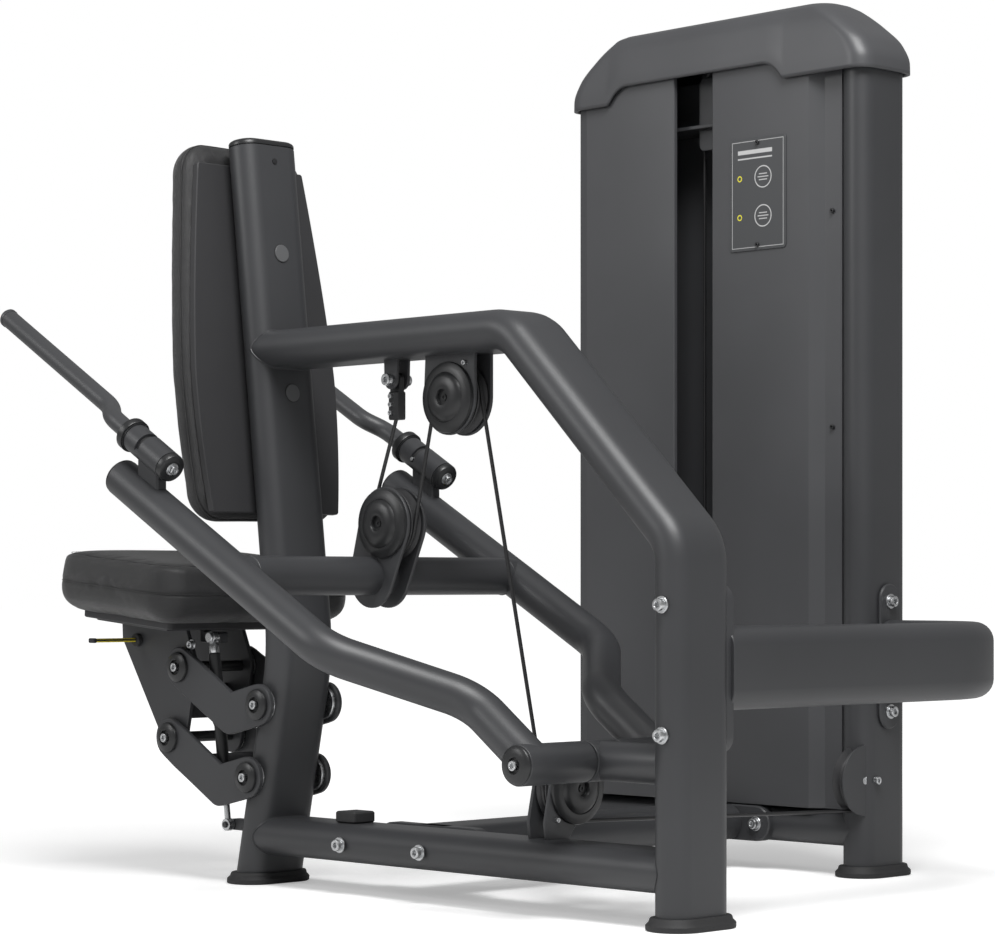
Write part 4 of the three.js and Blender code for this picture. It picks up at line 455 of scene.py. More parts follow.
def texture_group():
    """Fine orange-peel of a powder coat: two noises mixed, as a normal, with a slow change of colour and gloss."""
    def fill(tree, given, out):
        fine = noise(tree, given["Vector"], given["Scale"], 2.0, 0.6)
        slow = noise(tree, given["Vector"], 4.0, 3.0, 0.5)
        bump = add(tree, "Bump", {"Distance": 0.0002, "Strength": given["Depth"], "Height": fine})
        feed(tree, out, {
            "Colour": blended(tree, ramp(tree, slow, 0.35, 0.65), given["Colour"], given["Second colour"]),
            "Normal": bump.outputs["Normal"],
            "Roughness": maths(tree, "MULTIPLY_ADD", fine, 0.12, given["Roughness"]),
        })
    return shader_group("fine coat", {
        "Vector": None, "Colour": (0.07, 0.07, 0.075, 1), "Second colour": (0.06, 0.06, 0.065, 1),
        "Scale": 900.0, "Depth": 0.3, "Roughness": 0.4,
    }, {"Colour": "Color", "Roughness": "Float", "Normal": "Vector"}, fill)


def grain_group():
    """Leather grain: small cells with creases between them, crossed by soft longer wrinkles, as a normal and a mask."""
    def fill(tree, given, out):
        cells = add(tree, "TexVoronoi", {}, feature="DISTANCE_TO_EDGE")
        feed(tree, cells, {"Vector": given["Vector"], "Scale": given["Scale"]})
        crease = ramp(tree, cells.outputs["Distance"], 0.0, 0.16)
        height = maths(tree, "MULTIPLY_ADD", noise(tree, given["Vector"], 26.0, 4.0, 0.55), 1.6, crease)
        bump = add(tree, "Bump", {"Distance": 0.0004, "Strength": given["Depth"], "Height": height})
        feed(tree, out, {"Normal": bump.outputs["Normal"], "Crease": crease})
    return shader_group("leather grain", {"Vector": None, "Scale": 700.0, "Depth": 0.5},
                        {"Crease": "Float", "Normal": "Vector"}, fill)


def brush_group():
    """Turned or plated metal: stretched noise that shifts roughness and colour a little."""
    def fill(tree, given, out):
        n = noise(tree, given["Vector"], given["Scale"], 3.0, 0.6)
        feed(tree, out, {
            "Roughness": ramp(tree, n, 0.3, 0.7, 0.22, 0.42),
            "Colour": blended(tree, n, given["Colour"], given["Second colour"]),
        })
    return shader_group("plated metal", {
        "Vector": None, "Scale": 300.0, "Colour": (0.6, 0.6, 0.62, 1), "Second colour": (0.5, 0.5, 0.52, 1),
    }, {"Colour": "Color", "Roughness": "Float"}, fill)


def new_material(name):
    """A material with its Principled shader and Object coordinates."""
    m = bpy.data.materials.new(name)
    m.use_nodes = True
    shader = m.node_tree.nodes["Principled BSDF"]
    coords = m.node_tree.nodes.new("ShaderNodeTexCoord")
    return m, m.node_tree, shader, coords.outputs["Object"]


def place(tree, group, inputs):
    """A node that holds the group, with its inputs."""
    node = tree.nodes.new("ShaderNodeGroup")
    node.node_tree = group
    return feed(tree, node, inputs)


def finished(name, group, colour, change, values, plain):
    """A material made once. The group gets the colour, a changed second colour and more values, and feeds the shader;
    plain values go to the shader itself."""
    if name in bpy.data.materials:
        return bpy.data.materials[name]
    m, tree, shader, coords = new_material(name)
    second = (*(c * change for c in colour), 1)
    g = place(tree, group, {"Vector": coords, "Colour": (*colour, 1), "Second colour": second, **values})
    feed(tree, shader, {"Base Color" if o.name == "Colour" else o.name: o for o in g.outputs})
    feed(tree, shader, plain)
    return m


def coated(name, colour, roughness=0.4, scale=900.0, depth=0.3, change=0.88):
    """Coated or moulded surface with a fine texture."""
    values = {"Scale": scale, "Depth": depth, "Roughness": roughness}
    return finished(name, texture_group(), colour, change, values, {})


def metal(name, colour, scale=300.0):
    """Plated or turned metal."""
    return finished(name, brush_group(), colour, 0.8, {"Scale": scale}, {"Metallic": 1.0})


def leather(name, colour):
    """Satin leatherette with a fine pressed grain, its colour darkened in the grain's creases as painted shade."""
    if name in bpy.data.materials:
        return bpy.data.materials[name]
    m, tree, shader, coords = new_material(name)
    g = place(tree, grain_group(), {"Vector": coords})
    crease = g.outputs["Crease"]
    # The base colour drops to 0.6 of the upholstery colour in the grain's creases: painted shade.
    feed(tree, shader, {
        "Base Color": blended(tree, crease, (*(c * 0.6 for c in colour), 1), (*colour, 1)),
        "Normal": g.outputs["Normal"],
        "Roughness": ramp(tree, crease, 0.0, 1.0, 0.6, 0.42),
        "Sheen Weight": 0.2,
        "Sheen Roughness": 0.4,
    })
    return m


def tint(key):
    """One of the colours that the user can set."""
    return tuple(getattr(bpy.context.scene.gym_colours, key))


def paint():
    """The frame's graphite powder coat."""
    return coated("graphite powder coat", tint("frame"), 0.36, 1100.0, 0.35)


def dark():
    """Satin black turned parts, caps and covers."""
    return coated("satin black cover", tint("covers"), 0.3, 700.0, 0.12)


def zinc():
    """Bright plated fasteners."""
    return metal("bright zinc", tint("fasteners"))


def accent():
    """Yellow plastic of the lever and the pin."""
    return coated("yellow grip", tint("accent"), 0.35, 600.0, 0.1, 0.95)


def board():
    """Dull covering of the cushions' boards."""
    return coated("covered board", (0.028, 0.028, 0.03), 0.5, 700.0, 0.4)


def seam_shade_skin():
    """The upholstery's leatherette darkened to 0.6 for the seam cords: painted shade in the seam grooves."""
    return leather("seam leatherette", tuple(c * 0.6 for c in tint("upholstery")))


def rubber():
    """Dull black rubber."""
    return coated("black rubber", (0.022, 0.022, 0.023), 0.62, 500.0, 0.5)


# sizes and colours that a user would change
class GymSizes(bpy.types.PropertyGroup):
    """Sizes of the machine's own pieces."""
    tube_width: FloatProperty(
        name="Tube width", description="Long side of the flat-oval frame tube", default=0.12, unit="LENGTH")
    tube_thickness: FloatProperty(
        name="Tube thickness", description="Short side of the flat-oval frame tube", default=0.06, unit="LENGTH")
    arm_radius: FloatProperty(
        name="Arm radius", description="Radius of the press arm's round tube", default=0.03, unit="LENGTH")
    grip_radius: FloatProperty(
        name="Grip radius", description="Radius of each hand grip", default=0.015, unit="LENGTH")
    cable_radius: FloatProperty(
        name="Cable radius", description="Radius of the coated cable", default=0.003, unit="LENGTH")
    round_steps: IntProperty(
        name="Round steps", description="Faces round a large tube", default=48, min=12, max=96)
    stitch_pitch: FloatProperty(
        name="Stitch pitch", description="Length of one stitch and its gap", default=0.0045, unit="LENGTH")


class GymColours(bpy.types.PropertyGroup):
    """Colours of the machine's finishes."""
    frame: FloatVectorProperty(
        name="Frame", description="Powder coat of the frame", subtype="COLOR",
        default=(0.04, 0.041, 0.044), min=0, max=1)
    covers: FloatVectorProperty(
        name="Covers", description="Plastic discs, caps and handles", subtype="COLOR",
        default=(0.016, 0.0165, 0.0175), min=0, max=1)
    shroud: FloatVectorProperty(
        name="Shroud", description="Sheet panels and cap of the tower", subtype="COLOR",
        default=(0.062, 0.063, 0.067), min=0, max=1)
    upholstery: FloatVectorProperty(
        name="Upholstery", description="Leatherette of the cushions", subtype="COLOR",
        default=(0.0135, 0.01355, 0.01455), min=0, max=1)
    fasteners: FloatVectorProperty(
        name="Fasteners", description="Bolts and washers", subtype="COLOR",
        default=(0.66, 0.67, 0.68), min=0, max=1)
    accent: FloatVectorProperty(
        name="Accent", description="Release lever and selector pin", subtype="COLOR",
        default=(0.75, 0.62, 0.03), min=0, max=1)


class GymStage(bpy.types.PropertyGroup):
    """Camera and light."""
    lens: FloatProperty(name="Lens", description="Focal length on a 36 mm wide sensor", default=107.1, min=20, max=300)
    key: FloatProperty(name="Key light", description="Power of the large soft light", default=175.0, unit="POWER")
    fill: FloatProperty(name="Fill light", description="Power of the side light", default=46.0, unit="POWER")
    world: FloatProperty(
        name="Room light", description="Strength of the even light all round", default=0.3, min=0, max=2)


# frame
def weld(centre, axis, radius, size=2.0, steps=56):
    """A weld bead round a circle that lies square to the axis."""
    u, v, w = basis(axis)
    a = np.arange(steps)[:, None] * 2 * math.pi / steps
    return bead(np.asarray(centre, float) + radius * (np.cos(a) * u + np.sin(a) * v), size, w)


class GYM_OT_spine(bpy.types.Operator):
    """Bent flat-oval spine: leaning column, top tube and post, base tube, axle barrel, pulley cheeks and lugs"""
    bl_idname = "gym.spine"
    bl_label = "Spine frame"

    def execute(self, context):
        s = context.scene.gym_sizes
        section = oval(s.tube_width / MM, s.tube_thickness / MM, 14)
        w, t = TUBE
        foot_y = KNEE[0] / KNEE[1] * FOOT_TOP
        column = bent([(0, foot_y, FOOT_TOP), (0, *KNEE), (0, *COLUMN_TOP)], 350, 16)
        top = bent([(0, column_y(TOP_TUBE_Z), TOP_TUBE_Z), (0, SHOULDER_Y, TOP_TUBE_Z),
                    (0, POST_Y, POST_KNEE_Z), (0, POST_Y, FOOT_TOP)], [75, 70], 12)
        base = [(0, column_y(BASE_Z), BASE_Z), (0, POST_Y, BASE_Z)]
        parts = [sweep(column, section, X), sweep(top, section, X), sweep(base, oval(w - 5, t - 1, 14), X)]
        parts.append(peg(30, 60, (-30, *PIVOT), X, 48, soft=1))
        reach = POST_Y - PIVOT[0]
        parts.append(peg(29, reach, (0, *PIVOT), Y, 48, soft=1))
        under = TOP_TUBE_Z - t / 2 + 7
        uy, ay = UPPER_PULLEY[0], ANCHOR[0]
        parts += twins(hull([(*UPPER_PULLEY, CHEEK_REACH), (uy - 52, under, 1), (uy + 56, under, 1)], 48), *CHEEK)
        parts += twins(hull([(*ANCHOR, 15), (ay - 15, under, 1), (ay + 15, under, 1)], 32), 9, 14, 1)
        x, y, z = LOWER_PULLEY
        lower = hull([(z, x, 32), (z + 26, -4, 4), (132, 12, 4), (101, 10, 1), (101, -30, 1)], 32)
        parts += twins(lower, *CHEEK, middle=y, axis="y")
        lx, ly, lz = SPRING_LOW
        lug = rounded(rect(ly - 9, column_y(lz), lz - 9, lz + 9), 8, 6)
        parts.append(plate(lug, "x", lx - 26, lx - 7, 1))
        parts.append(peg(5, 19, (lx - 10, ly, lz), X, 24, soft=0.8))
        parts += self.beads()
        build("spine", parts, paint(), "frame", ["spine_frame"])
        screws = [bolt((CHEEK[1], uy + 36, UPPER_PULLEY[1] + 51), X, 0.45, washer=False),
                  bolt((x + 42, y + 20, z - 45), Y, 0.42, washer=False)]
        build("cheek_screws", screws, zinc(), "frame")
        return {"FINISHED"}

    def beads(self):
        """Weld beads where a flat-oval tube ends on another: the tube's outline laid on the other's rounded face,
        y = middle + side * sqrt(r^2 - (|x| - flat half)^2)."""
        w, t = TUBE
        ends = ((column_y, TOP_TUBE_Z, 1, w), (column_y, BASE_Z, 1, w - 5), (lambda z: POST_Y, BASE_Z, -1, w - 5))
        out = []
        for middle, level, side, wide in ends:
            outline = oval(wide + 0.6, t - 0.4, 14) if wide < w else oval(w, t + 0.8, 14)
            z = level + outline[:, 1]
            past = np.clip(np.abs(outline[:, 0]) - (w - t) / 2, 0, None)
            reach = np.sqrt(np.clip((t / 2 + 0.5) ** 2 - past ** 2, 0, None))
            y = np.array([middle(v) for v in z]) + side * reach
            out.append(bead(np.stack([outline[:, 0], y, z], 1), 1.5, Y))
        return out


class GYM_OT_feet(bpy.types.Operator):
    """Flared rubber feet, the column's cap and the arm's rubber bumper"""
    bl_idname = "gym.feet"
    bl_label = "Feet, cap and bumper"

    def execute(self, context):
        w, t = TUBE
        rows = [(0, 12.5), (1.5, 14), (7.5, 14), (9, 12.8), (12, 9.5), (16.5, 8.2), (18, 6.8), (18, 2)]
        slope = KNEE[0] / KNEE[1]
        for name, x, y, lean in (
                ("front_foot", 0, 0, slope), ("rear_foot", 0, POST_Y, 0),
                ("tower_front_foot", TOWER_X, TOWER_FRONT_Y, 0), ("tower_rear_foot", TOWER_X, TOWER_REAR_Y, 0)):
            rings = np.stack([along(oval(w + 2 * r, t + 2 * r, 16) + (x, y + lean * z * 0.5), "z", z) for z, r in rows])
            build(f"{name}_rubber", [grid(rings)], rubber(), "frame", [name])
        lean = np.array([0, -math.sin(LEAN), math.cos(LEAN)])
        top = np.array([0, *COLUMN_TOP])
        out = np.array([0, math.cos(LEAN), math.sin(LEAN)])
        rows = [(0.3, 1.6), (1.2, 1.6), (1.3, 0), (5.5, 0), (8.0, 1.4), (10.0, 4.4), (11.4, 9), (12.2, 16),
                (12.6, 24), (12.8, 29)]
        rings = []
        for d, r in rows:
            o = oval(w - 2 * r, t - 2 * r, 16)
            rings.append(top + lean * d + o[:, :1] * X + o[:, 1:] * np.cross(lean, X))
        build("column_lid", [grid(np.stack(rings))], dark(), "frame", ["column_cap"])
        z = COLUMN_TOP[1] - 26
        screw = np.array([0, column_y(z), z]) + out * t / 2
        head = turned([(0, 0), (5, 0), (4.6, 1.6), (0, 2)], screw, out, 24)
        build("column_screw", [head], dark(), "frame")
        y, r = 214.0, 23.0
        o = rounded(rect(-r, r, y - r, y + r), 5, 4)
        foot = BASE_Z + t / 2
        build("bumper", [plate(o, "z", foot, foot + 18, 2.5)], rubber(), "frame", ["arm_bumper"])
        return {"FINISHED"}


# press arm and handles
ARM_AXIS = unit(np.array([0, ARM_BEND_1[0] - ARM_TOP[0], ARM_BEND_1[1] - ARM_TOP[1]]))
BARREL_AXIS = np.array([0, -math.cos(BARREL_TILT), math.sin(BARREL_TILT)])
BARREL_UP = np.array([0, math.sin(BARREL_TILT), math.cos(BARREL_TILT)])
BARREL_L = 92.0
SLOT_AT, SLOT_HALF = BARREL_L * 0.62, 4.6


def arm_z(y):
    """Height of the arm's straight part at y."""
    return ARM_TOP[1] + (y - ARM_TOP[0]) * (ARM_BEND_1[1] - ARM_TOP[1]) / (ARM_BEND_1[0] - ARM_TOP[0])


def on_barrel(d, up=0.0, x=ARM_X):
    """Point on the handle's axis, d from its rear end."""
    return np.array([x, *BARREL_REAR]) + BARREL_AXIS * d + BARREL_UP * up


class GYM_OT_press_arm(bpy.types.Operator):
    """Round-tube press arm: two bent sides, crossbar, hubs, pulley cheeks, grip barrels, end plugs and capped axle"""
    bl_idname = "gym.press_arm"
    bl_label = "Press arm"

    def execute(self, context):
        s = context.scene.gym_sizes
        r = s.arm_radius / MM
        n = s.round_steps
        tip = np.array([ARM_X, *ARM_TOP]) + ARM_AXIS * 5
        corners = [tip, (ARM_X, *ARM_BEND_1), (ARM_ROOT_X, *ARM_BEND_2), (ARM_ROOT_X, *PIVOT)]
        side = [sweep(bent(corners, 90, 12), circle(r, n), ends=1.2)]
        side.append(peg(30, 132, (33, *PIVOT), X, n, soft=1.5))
        low, high = SLOT_AT - SLOT_HALF, SLOT_AT + SLOT_HALF

        def slotted(a, radius, d):
            inside = (d > low - 0.01) & (d < high + 0.01) & (np.sin(a) > -0.2) & (radius < 22.9)
            outer = (radius > 20) & (radius < 22.9)
            return np.where(outer, np.where(inside, 17.8, 23.0), radius)
        profile = [(16.6, 0), (22, 0), (23, 1), (23, low - 0.2), (22.8, low), (22.8, high),
                   (23, high + 0.2), (23, BARREL_L - 1), (22, BARREL_L), (16.6, BARREL_L)]
        side.append(turned(profile, on_barrel(0), BARREL_AXIS, n, slotted, up=BARREL_UP))
        middle, half = BARREL_L / 2, 29.0
        rear, front = on_barrel(middle - half)[1:], on_barrel(middle + half)[1:]
        block = rounded([rear, front, (front[0], arm_z(front[0])), (rear[0], arm_z(rear[0]))], 5, 4)
        side.append(plate(block, "x", ARM_X - 10, ARM_X + 10, 3))
        spot = (CROSSBAR_Y, arm_z(CROSSBAR_Y))
        parts = side + [mirrored(p) for p in side]
        parts.append(peg(30, 2 * ARM_X, (-ARM_X, *spot), X, n))
        parts += twins(hull([(*spot, 50), (*ARM_PULLEY, CHEEK_REACH)], 48), *CHEEK)
        parts += [weld((k * (ARM_X - 23), *spot), X, 29.6, 1.4) for k in (1, -1)]
        build("arm_tubes", parts, paint(), "press_arm", ["press_arm"])
        plug = turned([(0, 0), (26, 0), (28.6, 0), (29.4, 1), (29.4, 2.4), (27.5, 4), (0, 4.6)],
                      tip - ARM_AXIS * 0.2, -ARM_AXIS, n)
        # Thin black band on the floor of each barrel's slot: painted shade inside the slot, built together with the
        # real end plugs.
        floor = turned(rect(17.6, 18.3, low, high), on_barrel(0), BARREL_AXIS, 40)
        build("arm_plugs", [plug, mirrored(plug), floor, mirrored(floor)], rubber(), "press_arm")
        self.axle(n)
        return {"FINISHED"}

    def axle(self, n):
        """Axle with a domed cap and a ringed socket bolt at each end."""
        end = 165.3
        shaft = peg(12.5, 2 * end, (-end, *PIVOT), X, 32)
        lid = turned([(0, 0), (28.4, 0), (28.4, 2.2), (27.4, 3.8), (23, 6.2), (17, 7.6), (12.6, 8), (11.6, 7),
                      (11.4, 3), (0, 3)], (end, *PIVOT), X, n)
        build("arm_axle_caps", [shaft, lid, mirrored(lid)], dark(), "press_arm", ["arm_axle"])
        head = bolt((end + 2.6, *PIVOT), X, 0.82, washer=False)
        build("arm_axle_bolts", [head, mirrored(head)], zinc(), "press_arm")


class GYM_OT_handles(bpy.types.Operator):
    """Swivelling handles: shaft in the barrel, collar, stepped grip, stop screw and bolted end cap"""
    bl_idname = "gym.handles"
    bl_label = "Handles"

    def execute(self, context):
        r = context.scene.gym_sizes.grip_radius / MM
        collar, neck = BARREL_L + 16.3, BARREL_L + 70.3
        aside = ARM_X - 22
        path = bent([on_barrel(collar - 1), on_barrel(neck), on_barrel(neck + 38, 0, aside),
                     on_barrel(neck + 361, 0, aside)], 60, 14)
        tube = sweep(path, circle(r, 40), ends=2.5)
        ring = turned([(0, 0), (24.4, 0), (24.4, 2.4), (26.4, 2.6), (27, 3.6), (27, 14.4), (25.6, 16), (18, 16.4),
                       (15.5, 19), (0, 19)], on_barrel(BARREL_L + CLEAR), BARREL_AXIS, 48)
        grip_end = turned([(0, 0), (15.6, 0), (15.9, 1), (15.9, 5.5), (14.2, 8), (9, 9.2), (0, 9.5)],
                          on_barrel(neck + 354.5, 0, aside), BARREL_AXIS, 40)
        shaft = peg(16, BARREL_L + 2, on_barrel(-1.3), BARREL_AXIS, 40)
        cap = turned([(0, 0), (21.8, 0), (23, 1.2), (23, 7.4), (21.6, 10.6), (17.5, 12.8), (11.5, 13), (11, 11.4),
                      (0, 11.4)], on_barrel(-CLEAR), -BARREL_AXIS, 48)
        screw = turned([(0, 0), (3.2, 0), (3.2, 24.4), (2.6, 25), (0, 25)], on_barrel(SLOT_AT), -X, 20)
        head = bolt(on_barrel(-10.4), -BARREL_AXIS, 0.8, washer=False)
        washer = turned([(0, 0), (10.6, 0), (10.6, 1.4), (9.8, 2), (0, 2)], on_barrel(-11.2), -BARREL_AXIS, 40)
        coat = coated("grip coat", (0.05, 0.051, 0.054), 0.34, 900.0, 0.2)
        for name, flip in (("left", list), ("right", lambda parts: [mirrored(p) for p in parts])):
            body = f"handle_{name}"
            build(f"grip_{name}", flip([tube, grip_end, shaft]), coat, body, [body])
            build(f"grip_collar_{name}", flip([ring, cap]), dark(), body)
            build(f"grip_bolt_{name}", flip([head, washer, screw]), zinc(), body)
        return {"FINISHED"}


# pulleys and cable
def wheel(centre, axis):
    """Grooved pulley: a ring profile with a rounded groove, turned about its axle."""
    half = [(6.3, 10), (20, 10), (22, 8.5), (44, 8.5), (46, 10), (54, 10), (55, 9), (55, 8.2), (48, 2.8), (46, 1.4)]
    profile = [(r, -d) for r, d in half] + [(45.5, 0)] + half[::-1]
    return turned(profile, centre, axis, 72)


def cover(face, out):
    """Domed cover: a raised rim, a step line, a shallow dish and a recessed hub."""
    profile = [(0, 0), (54, 0), (54, 2.4), (53, 4.6), (48, 7.2), (42, 8.8), (38.6, 9.2), (37.6, 8.4), (36.6, 9.2),
               (35.4, 11), (30, 13.8), (22, 15.6), (16, 16), (12.6, 15.2), (11.6, 13.4), (11.2, 9), (0, 9)]
    return turned(profile, face, out, 72)


def axle_rod(face, axis, length, radius=6.0):
    """Plain axle from a face inwards, with a low nut at its far end."""
    rod = peg(radius, length, face, axis, 28)
    axis = unit(axis)
    low = np.asarray(face, float) + axis * (length - 5)
    nut = turned([(0, 0), (9, 0), (9.6, 0.8), (9.6, 4.2), (9, 5), (0, 5)], low, axis, 36,
                 lambda a, r, d: np.where(r > 8, r * hexagon(a), r))
    return [rod, nut]


class GYM_OT_pulleys(bpy.types.Operator):
    """Six grooved pulleys, their domed covers and axles, and the cable's anchor"""
    bl_idname = "gym.pulleys"
    bl_label = "Pulleys"

    def execute(self, context):
        plastic = coated("moulded pulley", (0.03, 0.03, 0.032), 0.38, 500.0, 0.15)
        for name, centre, axis in (
                ("upper_pulley", (0, *UPPER_PULLEY), X), ("arm_pulley", (0, *ARM_PULLEY), X),
                ("lower_pulley", LOWER_PULLEY, Y), ("tower_pulley", TOWER_PULLEY, Y),
                ("head_pulley_rear", HEAD_PULLEYS[0], X), ("head_pulley_front", HEAD_PULLEYS[1], X)):
            build(f"{name}_wheel", [wheel(centre, axis)], plastic, name, [name])
        for name, spot, axis, body in (
                ("upper_pulley_axle", (0, *UPPER_PULLEY), X, "frame"),
                ("arm_pulley_axle", (0, *ARM_PULLEY), X, "press_arm"),
                ("lower_pulley_axle", LOWER_PULLEY, Y, "frame")):
            face = np.array(spot) + axis * (CHEEK[1] + CLEAR)
            rod = axle_rod(face, -axis, 45.6)
            build(f"{name}_cover", [cover(face, axis)] + rod, dark(), body, [name])
            build(f"{name}_hub", [bolt(face + axis * 4, axis, 0.62, washer=False)], dark(), body)
        x, _, z = TOWER_PULLEY
        back = TOWER_REAR_Y + FACE
        pin = peg(6, 44, (x, back - 6, z), -Y, 28)
        head = bolt((x - 19, back - CLEAR, z), Y, 0.72, washer=False)
        build("tower_axle", [pin, head], zinc(), "frame", ["tower_pulley_axle"])
        self.anchor()
        return {"FINISHED"}

    def anchor(self):
        """Clamp that holds the cable's end: a tongue on a bolt, a block and three set screws."""
        y, z = ANCHOR
        low = z - CLAMP_DROP
        tongue = plate(hull([(y, z, 12), (y, low, 11)], 32), "x", -5, 5, 1)
        block = plate(rounded(rect(y - 12, y + 12, low - 24, low + 20), 3, 3), "x", -8, 8, 1.5)
        build("anchor_clamp", [tongue, block], dark(), "frame", ["cable_anchor"])
        screws = [bolt((7.6, y - 5, low + k * 13), X, 0.42, washer=False) for k in (-1, 0, 1)]
        rod = peg(6, 40, (-20, y, z), X, 24)
        near, far = (bolt((14.3, y, z), X, size, washer=False) for size in (1.05, 0.95))
        build("anchor_screws", [rod, near] + screws + [mirrored(far)], zinc(), "frame", ["anchor_bolt"])


def arc(centre, u, v, a, b, steps=18, radius=GROOVE):
    """Points of a circle from angle a to b in the plane of u and v."""
    t = np.linspace(a, b, steps + 1)[:, None]
    return np.asarray(centre, float) + radius * (np.cos(t) * u + np.sin(t) * v)


class GYM_OT_cable(bpy.types.Operator):
    """Coated cable: anchor run, wrap on the arm's pulley, loop run, the long run to the tower, and the stack run"""
    bl_idname = "gym.cable"
    bl_label = "Cable"

    def execute(self, context):
        radius = context.scene.gym_sizes.cable_radius / MM
        arm, upper = np.array([0, *ARM_PULLEY]), np.array([0, *UPPER_PULLEY])
        lower, tower = np.array(LOWER_PULLEY), np.array(TOWER_PULLEY)
        clamp = np.array([0, ANCHOR[0], ANCHOR[1] - CLAMP_DROP - 24 + 2.0])
        stem = np.array([TOWER_X, STACK_Y, STEM_FOOT_Z])
        to = clamp - arm
        front = math.atan2(to[2], to[1]) + math.acos(GROOVE / np.linalg.norm(to))
        gap = upper - arm
        cross = math.atan2(gap[2], gap[1]) + math.asin(2 * GROOVE / np.linalg.norm(gap)) - math.pi / 2
        drop = np.array([0, LOWER_PULLEY[1], LOWER_PULLEY[2]]) - upper
        rear = math.atan2(drop[2], drop[1]) + math.acos(GROOVE / np.linalg.norm(drop))
        wrap = arc(arm, Y, Z, front, cross + 2 * math.pi, 40)
        over = arc(upper, Y, Z, cross + math.pi, rear, 24)
        tilt = math.atan2(tower[2] - lower[2], lower[0] - tower[0])
        under = arc(lower, X, Z, 0, -math.pi / 2 - tilt, 18)
        up = arc(tower, X, Z, -math.pi / 2 - tilt, -math.pi, 18)
        head_rear = arc(HEAD_PULLEYS[0], Y, Z, 0, math.pi / 2, 18)
        head_front = arc(HEAD_PULLEYS[1], Y, Z, math.pi / 2, math.pi, 18)
        coat = coated("nylon coated cable", (0.018, 0.018, 0.019), 0.3, 1500.0, 0.2)
        section = circle(radius, 14)

        def run(name, path, body, node):
            return build(name, [sweep(path, section, ends=0)], coat, body, [node])

        def straight(a, b, count=24, trim=0.4):
            d = unit(b - a) * trim
            return np.linspace(a + d, b - d, count)
        first = run("anchor_run", straight(clamp + Z * 4, wrap[0]), None, "cable_anchor_run")
        second = run("loop_run", straight(wrap[-1], over[0]), None, "cable_loop_run")
        third = run("stack_run", straight(head_front[-1], stem), None, "cable_stack_run")
        run("arm_wrap", wrap, "cable_wrap", "cable_arm_wrap")
        run("long_run", np.concatenate([over, under, up, head_rear, head_front]), "frame", "cable_main")
        for piece, body, start, end in (
                (first, "cable_runs", clamp, wrap[0]), (second, "cable_runs", over[0], wrap[-1]),
                (third, "stack", head_front[-1], stem)):
            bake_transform(piece)
        return {"FINISHED"}


# base crossmember and guard
class GYM_OT_base(bpy.types.Operator):
    """Crossmember and bent guard between the spine and the tower, with their bolted flanges"""
    bl_idname = "gym.base"
    bl_label = "Crossmember and guard"

    def execute(self, context):
        w, t = TUBE
        section = oval(w, t, 14)
        half = w / 2
        y, z = CROSSMEMBER_Y, BASE_Z
        x0, x1 = -half + 14, TOWER_X + half - 14
        flange = oval(240, t, 16) + (y, z)
        parts = [sweep([(x0 - 2, y, z), (x1 + 2, y, z)], section, Y)]
        parts += [plate(flange, "x", x0 - 24, x0 - 0.5, 2), plate(flange, "x", x1 + 0.5, x1 + 24, 2)]
        build("crossmember", parts, paint(), "frame", ["front_crossmember"])
        sides = (1, -1)
        bolts = [bolt((x, y + k * FLANGE_BOLT, z), X) for x in (half + CLEAR, x1 + 24) for k in sides]
        bolts += [bolt((x0 - 24, y + k * FLANGE_BOLT, z), -X, 0.9) for k in sides]
        build("crossmember_bolts", bolts, zinc(), "frame")
        end = TOWER_REAR_Y + t / 2 + CLEAR
        path = bent([(-half + 2, POST_Y, GUARD_Z), (TOWER_X, POST_Y, GUARD_Z), (TOWER_X, end + 4, GUARD_Z)],
                    GUARD_BEND, 20)
        tube = sweep(path, section, Z)
        post = oval(240, 48, 16)[:, ::-1] + (POST_Y, GUARD_Z)
        tower = oval(240, 52, 16) + (GUARD_Z, TOWER_X)
        plates = [plate(post, "x", -half - 5, -half + 13.5, 2), plate(tower, "y", end, end + 6, 2)]
        build("guard", [tube] + plates, paint(), "frame", ["guard_tube"])
        bolts = [bolt((half + CLEAR, POST_Y, GUARD_Z + k * FLANGE_BOLT), X) for k in sides]
        bolts += [bolt((TOWER_X, end + 6, GUARD_Z + k * FLANGE_BOLT), Y) for k in sides]
        bolts += [bolt((-half - 5, POST_Y, GUARD_Z + k * FLANGE_BOLT), -X, 0.9) for k in sides]
        build("guard_bolts", bolts, zinc(), "frame")
        return {"FINISHED"}


